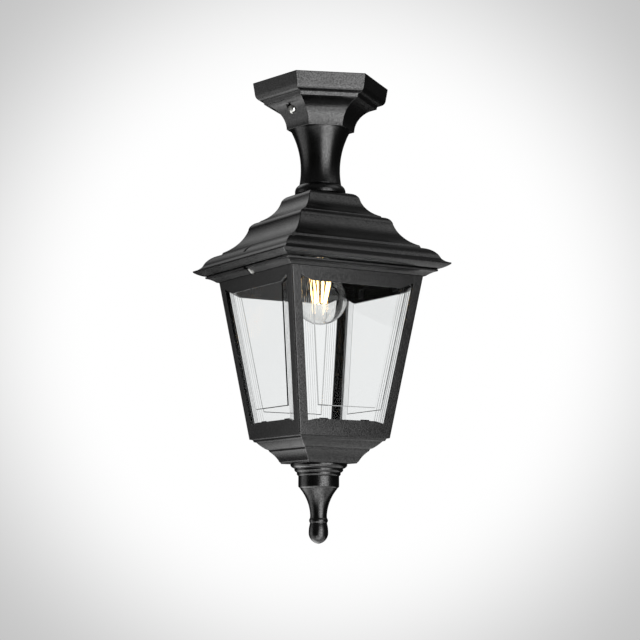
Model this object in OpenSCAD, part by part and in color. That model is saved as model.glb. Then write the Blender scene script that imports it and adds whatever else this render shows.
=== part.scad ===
// Porch ceiling lantern: hexagonal canopy, turned neck, three-tier square roof,
// tapered glazed cage that drops on a hinge, stepped tray and turned finial.
// Millimetres. The ceiling is the plane z = 0 and the lantern hangs below it.
// The front is -Y, the catch is on the -X side and the hinge on the +X side.

/* [Canopy] */
// Width of the canopy rim across its flats
canopy_flats = 124; // [118:1:136]
// Height of the canopy, from the ceiling to the foot of its cove
canopy_h = 48; // [46:1:56]
// Height of the plain band round the rim
rim_h = 13; // [10:0.5:14]
// How far the band leans in on each side over its height
rim_draft = 2; // [1:0.5:3]
// Width across the flats of the canopy's foot, where the neck starts
foot_flats = 62; // [60:1:66]
// Wall of the canopy casting
canopy_wall = 3.5; // [3:0.25:4]
// Turn of the hexagon about the stem, as it was fitted
canopy_turn = 9; // [-15:1:15]

/* [Ceiling bracket] */
// Thickness of the strip steel
strip_t = 2; // [1.5:0.25:2.5]
// Width of the strip
strip_w = 22; // [20:1:26]
// Distance between the two ceiling screw holes
ceiling_pitch = 44; // [42:1:48]
// Diameter of the ceiling screw holes
ceiling_hole_d = 5.5; // [4.5:0.5:6.5]
// Depth of the canopy screws below the ceiling
side_screw_drop = 30; // [29:0.5:32]
// Thread diameter of the canopy screws
side_screw_d = 5; // [4:0.5:5]
// Head diameter of the canopy screws
side_head_d = 9.6; // [9:0.2:10]

/* [Neck and stem] */
// Height of the neck between the canopy and its collar
neck_h = 58; // [50:1:70]
// Radius of the neck at its foot
neck_foot_r = 21.9; // [21.2:0.1:23]
// Turn of the neck's hollow curve, in degrees
neck_curve = 39; // [30:1:44]
// Wall of the neck
neck_wall = 3; // [2.5:0.25:4]
// Height of the collar
collar_h = 9.5; // [8:0.5:12]
// Radius of the collar at its widest
collar_r = 26.3; // [25.5:0.1:28]
// Outer diameter of the threaded stem tube
stem_d = 10; // [9.5:0.25:10.5]
// Bore of the stem tube
stem_bore = 8; // [7.5:0.25:8.25]
// Width across the flats of the stem nuts
stem_nut_flats = 14; // [13:0.5:17]
// Thickness of the stem nuts
stem_nut_t = 6; // [5:0.5:7]
// Thickness of the stem washers
stem_washer_t = 1.5; // [1:0.25:2]

/* [Roof] */
// Half width of the flat top under the collar
roof_top_half = 22.5; // [21:0.5:24]
// Half width where the shoulder ends and the first sweep starts
shoulder_half = 30.3; // [29.5:0.1:31.5]
// Height of the shoulder
shoulder_h = 7.1; // [6:0.1:8]
// Half width at the foot of the top tier
tier1_half = 45.8; // [44:0.2:47]
// Height of the top tier's sweep
tier1_h = 17.8; // [16:0.2:20]
// Half width at the foot of the middle tier
tier2_half = 73.4; // [71:0.2:75]
// Height of the middle tier's sweep
tier2_h = 22.3; // [20:0.2:25]
// Width and height of the rounded nose that starts the middle tier
nose2 = 7.6; // [6.5:0.1:8.5]
// How far the bottom tier stands out past the cornice
tier3_out = 2; // [1.6:0.1:3]
// Height of the bottom tier's rounded nose
tier3_h = 11; // [10:0.2:12]
// How far the eave lip stands out past the cornice
eave_out = 9.6; // [8.4:0.1:11]
// Height of the step between two tiers
tier_step = 1.6; // [1.2:0.1:2]
// Thickness of the eave lip at its edge
lip_t = 1.3; // [1:0.1:2]
// Wall of the roof casting
roof_wall = 3.5; // [3:0.25:4]

/* [Cage] */
// Gap between the roof and the closed cage
cage_gap = 0.6; // [0.4:0.1:1]
// How far the cornice stands out past the side frames
cornice_out = 10.8; // [9.7:0.1:12]
// Height of the cornice
cornice_h = 6.4; // [6:0.2:8]
// Width of the cornice's ledge over the side frames
cornice_ledge = 7.4; // [7:0.1:9]
// Half width of the cage at the top of its side frames
frame_top_half = 77.4; // [76.5:0.1:78]
// Half width of the cage at the foot of its side frames
frame_foot_half = 53; // [50:0.5:56]
// Height of the side frames
frame_h = 164.5; // [150:0.5:185]
// Thickness of the side frames
frame_t = 6; // [5.5:0.25:6.25]
// Thickness left in front of the glass
frame_web = 3; // [2.5:0.25:3.25]
// Width of the upright stiles
stile_w = 10.5; // [9.5:0.25:13]
// Depth of the top rail
top_rail = 14.5; // [13:0.5:18]
// Depth of the bottom rail
bottom_rail = 16.3; // [14:0.5:20]
// How far the opening runs up past the top rail at its corners
top_ear_rise = 6.1; // [4:0.1:7]
// Length of the slope into each top corner
top_ear_run = 14; // [10:0.5:18]
// How far the opening runs down past the bottom rail at its corners
bottom_ear_rise = 2.5; // [1.5:0.1:5]
// Length of the slope into each bottom corner
bottom_ear_run = 10.7; // [8:0.1:14]
// Chamfer where two side frames meet
corner_chamfer = 0.8; // [0.5:0.1:1.2]

/* [Glass] */
// Width of the plain border of each pane, hidden in the frame
pane_land = 3.5; // [3:0.1:3.6]
// Lap of each pane over the top and bottom of its opening
pane_lap = 2.5; // [2:0.1:3]
// Width of the bevel that shows inside the opening
bevel_w = 14; // [10:0.5:20]
// Height of the bevel
bevel_rise = 1.2; // [0.8:0.1:1.8]
// Thickness of the glass clips
clip_t = 0.8; // [0.5:0.1:1]
// Width of the glass clips
clip_w = 10; // [8:0.5:12]

/* [Tray and finial] */
// Height of the tray's top band
tray_band_h = 3.3; // [2.6:0.1:4]
// Half width of the tray at the foot of its slope
tray_mid_half = 38.2; // [36:0.2:40]
// Height of the tray's slope
tray_slope_h = 7.6; // [7:0.2:10]
// Half width of the tray's flat underside
tray_foot_half = 28.4; // [27:0.2:30]
// Height of the tray's lower hollow moulding
tray_hollow_h = 14.4; // [12:0.2:18]
// Wall of the tray casting
tray_wall = 3; // [2.5:0.25:3.5]
// Radius of the finial base at its top ring
base_r = 29; // [27:0.2:30]
// Height of the finial base
base_h = 12.6; // [11:0.2:15]
// Radius of the finial's drum
drum_r = 20.85; // [19:0.1:22]
// Height of the finial's drum
drum_h = 10.6; // [8:0.2:14]
// Length of the finial's tapering stem
drop_h = 29.6; // [24:0.2:36]
// Radius of the finial at its narrowest
drop_r = 8.5; // [7.5:0.1:9.2]
// Height of the acorn at the tip
acorn_h = 21.4; // [19:0.2:25]
// Radius of the acorn
acorn_r = 9.94; // [9.4:0.1:11]
// Radius of the stud that holds the finial
stud_r = 3; // [2.5:0.25:3.25]
// How far the stud reaches into the finial
stud_reach = 20; // [16:1:24]

/* [Lamp and holder] */
// Diameter of the lamp's glass
lamp_d = 55; // [45:1:60]
// Length of the lamp from its contact to the tip of its glass
lamp_len = 96.8; // [90:0.2:108]
// Diameter of the lamp's screw cap
lamp_cap_d = 26.4; // [26:0.1:26.8]
// Length of the lamp's screw cap
lamp_cap_len = 22.5; // [20:0.5:24]
// Wall of the lamp's glass
lamp_wall = 0.8; // [0.6:0.1:1.2]
// Number of light filaments
filaments = 6; // [4:1:8]
// Distance of the filaments' upper ends from the lamp's axis
filament_spread = 12; // [9:0.5:14]
// Distance of the filaments' lower ends from the lamp's axis
filament_gather = 3.8; // [3.4:0.1:5]
// Height of the filament cone
filament_rise = 34; // [28:1:38]
// Distance of the filament cone below the lamp's cap
filament_drop = 17; // [15:0.5:20]
// Outer diameter of the lampholder
holder_d = 40; // [38:1:44]
// Depth of the lampholder from its top to its mouth
holder_h = 55; // [52:1:58]
// Wall of the lampholder
holder_wall = 3.5; // [3:0.25:4]

/* [Hinge and catch] */
// Diameter of the hinge pin
hinge_pin_d = 3; // [2.5:0.25:3.25]
// Radius of the hinge knuckles
knuckle_r = 3.2; // [2.9:0.1:3.3]
// Width of the cage's knuckle
knuckle_w = 18; // [14:1:30]
// Width of each roof lug
lug_w = 8; // [6:1:12]
// Distance of the catch and its slits from the middle of the side
catch_offset = 0; // [-20:0.5:20]
// Thickness of the catch blade
catch_t = 1.6; // [1.2:0.1:2]
// Width of the slits that the catch works in
slit_w = 5; // [4:0.2:6]

/* [Hidden] */

// Colours
cast_black = "#1d1e20";
zinc = "#b9bdc2";
black_oxide = "#2b2c2e";
brass = "#c9a34e";
clear = [0.85, 0.92, 0.95, 0.35];

// Small shared sizes
eps = 0.01;
stem_gap = 0.4;
arc_steps = 8;
run_gap = 0.06;
round_fn = 48;
far = 400;
sides = [0, 90, 180, 270];

// Levels, from the ceiling down
canopy_foot_z = -canopy_h;
canopy_floor_t = 0.9 * canopy_wall;
collar_top_z = canopy_foot_z - neck_h;
roof_top_z = collar_top_z - collar_h;
tier1_top_z = roof_top_z - shoulder_h;
tier1_foot_z = tier1_top_z - tier1_h;
tier2_top_z = tier1_foot_z - tier_step;
tier2_nose_z = tier2_top_z - nose2;
tier2_foot_z = tier2_nose_z - tier2_h;
tier3_step_z = tier2_foot_z - 2 * tier_step;
tier3_top_z = tier3_step_z - 0.2;
tier3_foot_z = tier3_top_z - tier3_h;
eave_sweep_h = 4.8;
lip_top_z = tier3_foot_z - eave_sweep_h;
lip_foot_z = lip_top_z - lip_t;
eave_under_h = 4.7;
roof_foot_z = lip_foot_z - eave_under_h;
cornice_top_z = roof_foot_z - cage_gap;
frame_top_z = cornice_top_z - cornice_h;
frame_foot_z = frame_top_z - frame_h;
tray_slope_top_z = frame_foot_z - tray_band_h;
tray_slope_foot_z = tray_slope_top_z - tray_slope_h;
tray_foot_z = tray_slope_foot_z - tray_hollow_h;
base_foot_z = tray_foot_z - base_h;
drum_foot_z = base_foot_z - drum_h;
drop_top_z = drum_foot_z - 2.6;
drop_foot_z = drop_top_z - drop_h + 2.6;
acorn_top_z = drop_foot_z - 8;
tip_z = acorn_top_z - acorn_h + 1.2;

// Half widths that follow from the cage's
cornice_half = frame_top_half + cornice_out;
cornice_open_half = frame_top_half - cornice_ledge;
tier3_half = cornice_half + tier3_out;
eave_half = cornice_half + eave_out;

// Turning and leaning of the cage's sides
frame_drop = frame_top_half - frame_foot_half;
lean = atan(frame_drop / frame_h);
corner_lean = atan(frame_drop * sqrt(2) / frame_h);
slope_len = frame_h / cos(lean);

// Half widths of a side at a distance down its slope
function side_half(d) = frame_top_half - d * sin(lean);

// Points of an arc from p to q that turns by a number of degrees, without p itself.
// Down an outline, a positive turn is a hollow curve and a negative one is a round nose.
function arc(p, q, turn, steps = arc_steps) =
    let (
        chord = q - p,
        radius = norm(chord) / 2 / sin(abs(turn) / 2),
        side = turn > 0 ? 1 : -1,
        depth = radius * cos(turn / 2),
        normal = [-chord.y, chord.x] / norm(chord),
        centre = (p + q) / 2 + side * depth * normal,
        start = atan2(p.y - centre.y, p.x - centre.x)
    )
    [for (i = [1:steps]) centre + radius * [cos(start + turn * i / steps), sin(start + turn * i / steps)]];

// The other half of an outline, from its last point back to its first
function mirrored(half) = [for (i = [len(half) - 1:-1:0]) [-half[i].x, half[i].y]];

function moved(points, step) = [for (p = points) p + step];

// A solid whose every side has the same half outline: a square or a hexagon on plan
module moulded(half, turns) {
    intersection_for (turn = turns)
        rotate([90, 0, turn])
            linear_extrude(far, center = true)
                polygon(concat(half, mirrored(half)));
}

module square_moulded(half) moulded(half, [0, 90]);

module hex_moulded(half) moulded(half, [canopy_turn, canopy_turn + 60, canopy_turn + 120]);

module turned(outline) {
    rotate_extrude($fn = round_fn)
        polygon(outline);
}

module rod(p, q, r) {
    span = q - p;
    translate(p)
        rotate([0, acos(span.z / norm(span)), atan2(span.y, span.x)])
            cylinder(h = norm(span), r = r, $fn = 24);
}

// A square hole or block of a given half width between two levels
module square_block(half, low_z, high_z) {
    translate([-half, -half, low_z])
        cube([2 * half, 2 * half, high_z - low_z]);
}

// Places its children on one side of the cage: x along the side, y up the slope from
// the top edge, z out of the outer face
module on_side(turn) {
    rotate([0, 0, turn])
        translate([0, -frame_top_half, frame_top_z])
            rotate([90 + lean, 0, 0])
                children();
}

module on_bracket() rotate([0, 0, canopy_turn]) children();

// ---------------------------------------------------------------- ceiling parts

// Where the head of a canopy screw seats in the cove, and where the tabs stand
screw_seat = 37.5 + (foot_flats - 62) / 2;
tab_face = screw_seat - 10;
head_t = 3.4;
side_screw_len = screw_seat - tab_face + strip_t;
slot_w = 1.2;
slot_depth = 1.4;
tab_drop = side_screw_drop + 7;
tab_w = 16;

module ceiling_bracket() {
    color(zinc)
        on_bracket()
            difference() {
                union() {
                    translate([-tab_face, -strip_w / 2, -strip_t])
                        cube([2 * tab_face, strip_w, strip_t]);
                    for (side = [-1, 1])
                        translate([side * (tab_face - strip_t / 2) - strip_t / 2, -tab_w / 2, -tab_drop])
                            cube([strip_t, tab_w, tab_drop]);
                }
                for (side = [-1, 1]) {
                    translate([side * ceiling_pitch / 2, 0, -strip_t - 1])
                        cylinder(h = strip_t + 2, d = ceiling_hole_d, $fn = round_fn);
                    translate([side * tab_face, 0, -side_screw_drop])
                        rotate([0, 90, 0])
                            cylinder(h = 4 * strip_t, d = side_screw_d, center = true, $fn = round_fn);
                }
                translate([block_half + 3.5, -strip_w / 4, -strip_t - 1])
                    cylinder(h = strip_t + 2, d = earth_d, $fn = round_fn);
            }
}

block_half = 12;
block_depth = 16;
block_t = 12;
way_pitch = 8;
earth_d = 3.5;
block_foot_z = -strip_t - block_t;

module terminal_block() {
    color("#e9e6dc")
        on_bracket()
            difference() {
                union() {
                    translate([-block_half, -block_depth / 2, -strip_t - 4])
                        cube([2 * block_half, block_depth, 4]);
                    for (way = [-1:1])
                        translate([way * way_pitch, -block_depth / 2, block_foot_z + 3.5])
                            rotate([-90, 0, 0])
                                cylinder(h = block_depth, r = 3.6, $fn = round_fn);
                    for (way = [-1:1])
                        translate([way * way_pitch - 3, -block_depth / 2, block_foot_z + 3])
                            cube([6, block_depth, 6]);
                }
                for (way = [-1:1])
                    for (end = [-1, 1])
                        translate([way * way_pitch, end * 4.5, block_foot_z - 1])
                            cylinder(h = 7, r = 1.6, $fn = round_fn);
            }
}

module terminal_screws() {
    color(brass)
        on_bracket()
            for (way = [-1:1])
                for (end = [-1, 1])
                    translate([way * way_pitch, end * 4.5, block_foot_z + 2.2])
                        difference() {
                            cylinder(h = 3.6, r = 1.55, $fn = round_fn);
                            translate([-2, -0.25, -eps])
                                cube([4, 0.5, 0.8]);
                        }
}

module earth_screw() {
    color(brass)
        on_bracket()
            translate([block_half + 3.5, -strip_w / 4, -strip_t]) {
                translate([0, 0, -2])
                    cylinder(h = 2, r = 3, $fn = round_fn);
                cylinder(h = strip_t, d = earth_d, $fn = round_fn);
            }
}

// A wire swept along its route with eight sides
function ring_at(route, i, r) =
    let (
        last = len(route) - 1,
        ahead = route[min(i + 1, last)] - route[max(i - 1, 0)],
        along = ahead / norm(ahead),
        across = cross(along, [0, 1, 0]) / norm(cross(along, [0, 1, 0])),
        up = cross(across, along)
    )
    [for (k = [0:7]) route[i] + r * (cos(45 * k) * across + sin(45 * k) * up)];

module wire(route, r) {
    last = len(route) - 1;
    walls = [for (i = [0:last - 1]) for (k = [0:7])
        let (a = 8 * i + k, b = 8 * i + (k + 1) % 8)
        each [[a, b, b + 8], [a, b + 8, a + 8]]];
    polyhedron(
        points = [for (i = [0:last]) each ring_at(route, i, r)],
        faces = concat([[for (k = [7:-1:0]) k]], walls, [[for (k = [0:7]) 8 * last + k]])
    );
}

lead_r = 1.1;
lead_side = 1.7;
holder_top_z = roof_top_z - roof_wall - stem_washer_t - stem_nut_t - 0.5;
insert_top_z = holder_top_z - 18;
stem_foot_z = holder_top_z - 7;
stem_top_z = canopy_foot_z + canopy_floor_t + stem_washer_t + stem_nut_t + 4;

// From the terminal block down through the stem to the lampholder
function lead_route(side) = [
    [side * way_pitch, 0, block_foot_z - 0.2],
    [side * way_pitch, 0, block_foot_z - 4],
    [side * 6.6, 0, block_foot_z - 9],
    [side * 3.6, 0, stem_top_z + 5],
    [side * 2, 0, stem_top_z + 1],
    [side * lead_side, 0, stem_top_z - 3],
    [side * lead_side, 0, collar_top_z],
    [side * lead_side, 0, stem_foot_z + 3],
    [side * 2, 0, stem_foot_z],
    [side * 3.8, 0, insert_top_z + 6.5],
    [side * 6, 0, insert_top_z + 2.5],
    [side * 6.6, 0, insert_top_z + 0.4]
];

module lead_live() color("#7a4a2a") wire(lead_route(1), lead_r);

module lead_neutral() color("#2f63a8") wire(lead_route(-1), lead_r);

module lead_earth() {
    color("#7fa83a")
        on_bracket()
            wire([
                [0, 0, block_foot_z - 0.2],
                [0, 0, block_foot_z - 4],
                [1.5, -3, block_foot_z - 7],
                [6, -7.5, block_foot_z - 7.5],
                [11, -11, block_foot_z - 4],
                [14, -11.5, block_foot_z + 2],
                [block_half + 3.7, -9.5, -strip_t - 4.4],
                [block_half + 3.5, -strip_w / 4 - 1, -strip_t - 3.3]
            ], lead_r);
}

// The canopy's outline from the rim to the foot, out from the axis and down
canopy_half = canopy_flats / 2;
foot_half = foot_flats / 2;
undercut_h = 5.6;
undercut_w = 6;
fillet_h = 4;
cove_half = canopy_half - rim_draft - undercut_w - 3.6;
rim_foot = [canopy_half - rim_draft, -rim_h];
undercut_foot = [canopy_half - rim_draft - undercut_w, -rim_h - undercut_h];
cove_top = [cove_half, -rim_h - undercut_h - fillet_h];
canopy_outline = concat(
    [[canopy_half, 0], rim_foot],
    arc(rim_foot, undercut_foot, -76, 6),
    [
        undercut_foot - [1.6, 0],
        [cove_half + 1.2, cove_top.y + 0.2],
        cove_top
    ],
    arc(cove_top, [foot_half, canopy_foot_z], 73)
);

module canopy() {
    color(cast_black)
        difference() {
            hex_moulded(canopy_outline);
            hex_moulded(moved(canopy_outline, [-canopy_wall, canopy_floor_t]));
            translate([0, 0, canopy_foot_z - 1])
                cylinder(h = canopy_wall + 2, d = stem_d + stem_gap, $fn = round_fn);
            on_bracket()
                for (side = [0, 180])
                    rotate([0, 0, side])
                        translate([0, 0, -side_screw_drop])
                            rotate([0, 90, 0]) {
                                cylinder(h = far, d = side_screw_d + 0.5, $fn = round_fn);
                                translate([0, 0, screw_seat])
                                    cylinder(h = far, d = side_head_d + 1.6, $fn = round_fn);
                            }
        }
}

module canopy_screws() {
    color("#c7cacd")
        on_bracket()
            for (side = [0, 180])
                rotate([0, 0, side])
                    translate([tab_face - strip_t, 0, -side_screw_drop])
                        rotate([0, 90, 0])
                            difference() {
                                union() {
                                    cylinder(h = side_screw_len, d = side_screw_d, $fn = round_fn);
                                    translate([0, 0, side_screw_len])
                                        pan_head(side_head_d / 2, head_t);
                                }
                                translate([-side_head_d, -slot_w / 2, side_screw_len + head_t - slot_depth])
                                    cube([2 * side_head_d, slot_w, 2 * slot_depth]);
                            }
}

// A pan head: straight at its foot, rounded over its top
module pan_head(r, t) {
    foot = [r, 0.35 * t];
    turned(concat([[0, 0], [r, 0], foot], arc(foot, [0.55 * r, t], 60, 5), [[0, t]]));
}

// ---------------------------------------------------------------- neck and stem

neck_top = [foot_half, canopy_foot_z];
neck_foot = [neck_foot_r, collar_top_z];
neck_outline = concat([neck_top], arc(neck_top, neck_foot, neck_curve, 14));
neck_inside = concat(
    [[foot_half - neck_wall, canopy_foot_z]],
    moved(arc(neck_top, neck_foot, neck_curve, 14), [-neck_wall, 0])
);

module neck() {
    color(cast_black)
        turned(concat(neck_outline, [for (i = [len(neck_inside) - 1:-1:0]) neck_inside[i]]));
}

module neck_collar() {
    nose_top = [neck_foot_r + 0.9, collar_top_z - 0.6];
    nose_foot = [collar_r, roof_top_z + 2.2];
    color(cast_black)
        turned(concat(
            [[neck_foot_r - neck_wall - 3, collar_top_z], [neck_foot_r - 0.7, collar_top_z],
             [neck_foot_r - 0.7, collar_top_z - 0.6], nose_top],
            arc(nose_top, nose_foot, -60, 6),
            [[collar_r, roof_top_z], [neck_foot_r - neck_wall - 3, roof_top_z]]
        ));
}

module stem_tube() {
    color(zinc)
        translate([0, 0, stem_foot_z])
            difference() {
                cylinder(h = stem_top_z - stem_foot_z, d = stem_d, $fn = round_fn);
                translate([0, 0, -1])
                    cylinder(h = stem_top_z - stem_foot_z + 2, d = stem_bore, $fn = round_fn);
            }
}

washer_tops = [canopy_foot_z + canopy_floor_t + stem_washer_t, roof_top_z - roof_wall];

module stem_washers() {
    color(zinc)
        for (top = washer_tops)
            translate([0, 0, top - stem_washer_t])
                difference() {
                    cylinder(h = stem_washer_t, r = stem_nut_flats * 0.72, $fn = round_fn);
                    translate([0, 0, -1])
                        cylinder(h = stem_washer_t + 2, d = stem_d, $fn = round_fn);
                }
}

module hex_nut(flats, t, bore) {
    difference() {
        cylinder(h = t, d = flats / cos(30), $fn = 6);
        translate([0, 0, -1])
            cylinder(h = t + 2, d = bore, $fn = round_fn);
    }
}

module stem_nuts() {
    color(zinc) {
        translate([0, 0, washer_tops[0]])
            hex_nut(stem_nut_flats, stem_nut_t, stem_d);
        translate([0, 0, washer_tops[1] - stem_washer_t - stem_nut_t])
            hex_nut(stem_nut_flats, stem_nut_t, stem_d);
    }
}

// ---------------------------------------------------------------- roof

shoulder_top = [roof_top_half, roof_top_z];
shoulder_foot = [shoulder_half, tier1_top_z];
tier1_foot = [tier1_half, tier1_foot_z];
nose2_top = [tier1_half + 1.6, tier2_top_z];
nose2_foot = nose2_top + [nose2, -nose2];
tier2_foot = [tier2_half, tier2_foot_z];
nose3_top = [tier2_half + 3.8, tier3_top_z];
nose3_foot = [tier3_half, tier3_foot_z];
roof_shell = concat(
    [shoulder_top],
    arc(shoulder_top, shoulder_foot, -75, 6),
    arc(shoulder_foot, tier1_foot, 52),
    [[tier1_half + 0.6, tier2_top_z + 0.2], nose2_top],
    arc(nose2_top, nose2_foot, -80, 6),
    arc(nose2_foot, tier2_foot, 47),
    [[tier2_half + 1, tier2_foot_z - 0.4], [tier2_half + 2.2, tier3_step_z], nose3_top],
    arc(nose3_top, nose3_foot, -60, 6)
);
lip_top = [eave_half, lip_top_z];
lip_foot = [eave_half, lip_foot_z];
eave_foot = [cornice_half + 0.4, roof_foot_z];
roof_outline = concat(
    roof_shell,
    arc(nose3_foot, lip_top, 45, 5),
    [lip_foot],
    arc(lip_foot, eave_foot, -25, 4)
);
roof_inside = concat(
    moved(roof_shell, [-roof_wall, -roof_wall]),
    [[tier3_half - roof_wall, roof_foot_z - 1]]
);

hinge_x = cornice_half + knuckle_r + 0.6;
hinge_z = roof_foot_z - knuckle_r + 0.6;
catch_pivot = [-(cornice_half - 10.6), cornice_top_z - 3.2];
hinge_pin_len = knuckle_w + 2 * lug_w + 2;
lug_gap = 0.3;

// A hinge lug or knuckle: a round end on the hinge line with a block behind it
module lug(width, block_from, block_to) {
    rotate([90, 0, 0])
        linear_extrude(width, center = true) {
            circle(r = knuckle_r, $fn = round_fn);
            polygon([block_from, [block_to.x, block_from.y], block_to, [block_from.x, block_to.y]]);
        }
}

module roof() {
    color(cast_black)
        difference() {
            union() {
                difference() {
                    square_moulded(roof_outline);
                    square_moulded(roof_inside);
                }
                for (side = [-1, 1])
                    translate([hinge_x, side * (knuckle_w / 2 + lug_gap + lug_w / 2), hinge_z])
                        lug(lug_w, [-knuckle_r, 0], [knuckle_r, lip_top_z - hinge_z - 1]);
            }
            translate([0, 0, roof_top_z - 2 * roof_wall])
                cylinder(h = 3 * roof_wall, d = stem_d + stem_gap, $fn = round_fn);
            translate([hinge_x, 0, hinge_z])
                rotate([90, 0, 0])
                    cylinder(h = hinge_pin_len + 2, d = hinge_pin_d, center = true, $fn = round_fn);
            translate([-far / 2, catch_offset - slit_w / 2, tier3_foot_z + 3.6])
                cube([far / 2, slit_w, tier3_h - 3.4]);
        }
}

module hinge_pin() {
    color("#c7cacd")
        translate([hinge_x, 0, hinge_z])
            rotate([90, 0, 0])
                cylinder(h = hinge_pin_len, d = hinge_pin_d, center = true, $fn = round_fn);
}

// ---------------------------------------------------------------- lampholder and lamp

holder_r = holder_d / 2;
holder_joint_z = holder_top_z - holder_h / 2;
holder_mouth_z = holder_top_z - holder_h;
entry_r = stem_d / 2 + 2.5;

module lampholder_cap() {
    entry_foot = [entry_r, holder_top_z - 6];
    dome_foot = [holder_r - 0.5, holder_top_z - 14];
    color("#141414")
        turned(concat(
            [[stem_d / 2, holder_top_z], [entry_r, holder_top_z], entry_foot],
            arc(entry_foot, dome_foot, -70, 6),
            [
                [holder_r - 0.5, holder_joint_z],
                [holder_r - holder_wall, holder_joint_z],
                [holder_r - holder_wall, holder_top_z - 16],
                [stem_d / 2 + 1.5, holder_top_z - 9.5],
                [stem_d / 2, holder_top_z - 9.5]
            ]
        ));
}

module lampholder_skirt() {
    color("#141414")
        turned([
            [holder_r - 0.5, holder_joint_z],
            [holder_r, holder_joint_z - 1],
            [holder_r, holder_mouth_z + 2],
            [holder_r - 1.5, holder_mouth_z],
            [lamp_cap_d / 2 + 1.3, holder_mouth_z],
            [lamp_cap_d / 2 + 1.3, holder_joint_z - 6],
            [holder_r - holder_wall, holder_joint_z - 4],
            [holder_r - holder_wall, holder_joint_z]
        ]);
}

insert_t = 8;
insert_foot_z = insert_top_z - insert_t;

module lampholder_insert() {
    color("#efece4")
        translate([0, 0, insert_foot_z])
            difference() {
                cylinder(h = insert_t, r = holder_r - holder_wall, $fn = round_fn);
                translate([0, 0, -1])
                    cylinder(h = 3, r = 5, $fn = round_fn);
            }
}

shell_r = lamp_cap_d / 2 + 0.1;

module lampholder_shell() {
    color(brass)
        translate([0, 0, holder_mouth_z + 2])
            difference() {
                cylinder(h = insert_foot_z - holder_mouth_z - 2, r = shell_r + 0.6, $fn = round_fn);
                translate([0, 0, -1])
                    cylinder(h = insert_foot_z - holder_mouth_z, r = shell_r, $fn = round_fn);
            }
}

contact_foot_z = insert_foot_z - 1;

module lampholder_contact() {
    color(brass)
        translate([0, 0, contact_foot_z])
            cylinder(h = insert_foot_z + 2 - contact_foot_z, r = 3.4, $fn = round_fn);
}

lamp_r = lamp_d / 2;
cap_r = lamp_cap_d / 2;
lamp_top_z = contact_foot_z - 0.2;
cap_top_z = lamp_top_z - 4.5;
cap_foot_z = cap_top_z - lamp_cap_len;
lamp_tip_z = lamp_top_z - lamp_len;
bulb_z = lamp_tip_z + lamp_r;
shoulder_angle = 31;

// Half outline of the lamp's glass, less a wall
function bulb_outline(wall) =
    let (
        neck = [cap_r - 0.7 - wall, cap_foot_z - 1],
        shoulder = [(lamp_r - wall) * cos(shoulder_angle), bulb_z + (lamp_r - wall) * sin(shoulder_angle)]
    )
    concat(
        [[neck.x, cap_top_z - 3], neck],
        arc(neck, shoulder, 30, 8),
        arc(shoulder, [0, lamp_tip_z + wall], shoulder_angle - 90 - 62, 16)
    );

module lamp_envelope() {
    outside = bulb_outline(0);
    inside = bulb_outline(lamp_wall);
    color(clear)
        turned(concat(outside, [for (i = [len(inside) - 1:-1:0]) inside[i]]));
}

thread_turns = 5;

module lamp_cap() {
    pitch = (lamp_cap_len - 4) / thread_turns;
    crests = [for (turn = [0:thread_turns - 1])
        let (top = cap_top_z - 2 - turn * pitch)
        each [[cap_r - 0.5, top], [cap_r, top - pitch / 2]]];
    color("#b7b9ba")
        turned(concat(
            [[cap_r - 0.7, cap_top_z], [cap_r - 0.5, cap_top_z - 1]],
            crests,
            [[cap_r - 0.5, cap_foot_z + 2], [cap_r - 0.2, cap_foot_z],
             [cap_r - 0.7, cap_foot_z]]
        ));
}

module lamp_cap_insulator() {
    color("#101010")
        turned([[4.6, lamp_top_z - 1.5], [10.5, cap_top_z + 0.6], [cap_r - 0.7, cap_top_z],
                [cap_r - 0.7, cap_top_z - 1.5], [0, cap_top_z - 1.5], [0, lamp_top_z - 1.5]]);
}

module lamp_cap_contact() {
    color("#b7b9ba")
        translate([0, 0, lamp_top_z - 1.5])
            cylinder(h = 1.5, r = 4.2, $fn = round_fn);
}

filament_top = [filament_spread, cap_foot_z - filament_drop];
filament_foot = [filament_gather, filament_top.y - filament_rise];
stem_glass_foot_z = filament_foot.y + 1;

module lamp_stem() {
    flare_top = [cap_r - 0.7 - lamp_wall, cap_foot_z - 1];
    flare_foot = [2.6, filament_top.y + 3];
    color(clear)
        turned(concat(
            [[0, flare_top.y], flare_top],
            arc(flare_top, flare_foot, 40, 6),
            [[1.8, stem_glass_foot_z], [0, stem_glass_foot_z]]
        ));
}

function filament_point(k, at) = [at.x * cos(360 * k / filaments), at.x * sin(360 * k / filaments), at.y];

module lamp_filaments() {
    color("#ffc765")
        for (k = [0:filaments - 1])
            rod(filament_point(k, filament_top), filament_point(k, filament_foot), 0.9);
}

wire_r = 0.3;
wire_top = [[2.65, filament_top.y + 3.3], filament_top + [0, 0.35]];
wire_foot = [filament_foot + [-1.75, 1.15], filament_foot + [-1.1, 0.5]];

module lamp_wires() {
    color(zinc)
        for (k = [0:filaments - 1]) {
            rod(filament_point(k, wire_top[0]), filament_point(k, wire_top[1]), wire_r);
            rod(filament_point(k, wire_foot[0]), filament_point(k, wire_foot[1]), wire_r);
        }
}

// ---------------------------------------------------------------- cage

cornice_edge = [cornice_half - 0.4, cornice_top_z - 1.9];
cornice_cove = [cornice_half - 2, cornice_top_z - 2.2];
cornice_foot = [frame_top_half + 2.4, frame_top_z + 0.6];
cornice_outline = concat(
    [[cornice_half, cornice_top_z], cornice_edge, cornice_cove],
    arc(cornice_cove, cornice_foot, 20, 4),
    [[frame_top_half + 1.6, frame_top_z]]
);
cornice_screw_at = [for (k = [-1, 1]) k * (cornice_open_half - 14)];
cornice_screw_half = frame_top_half - frame_t / 2;
screw_r = 1.5;
csk_r = 2.8;
csk_t = 1.8;
pivot_r = 1;
catch_pin_len = slit_w + 6;

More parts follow.
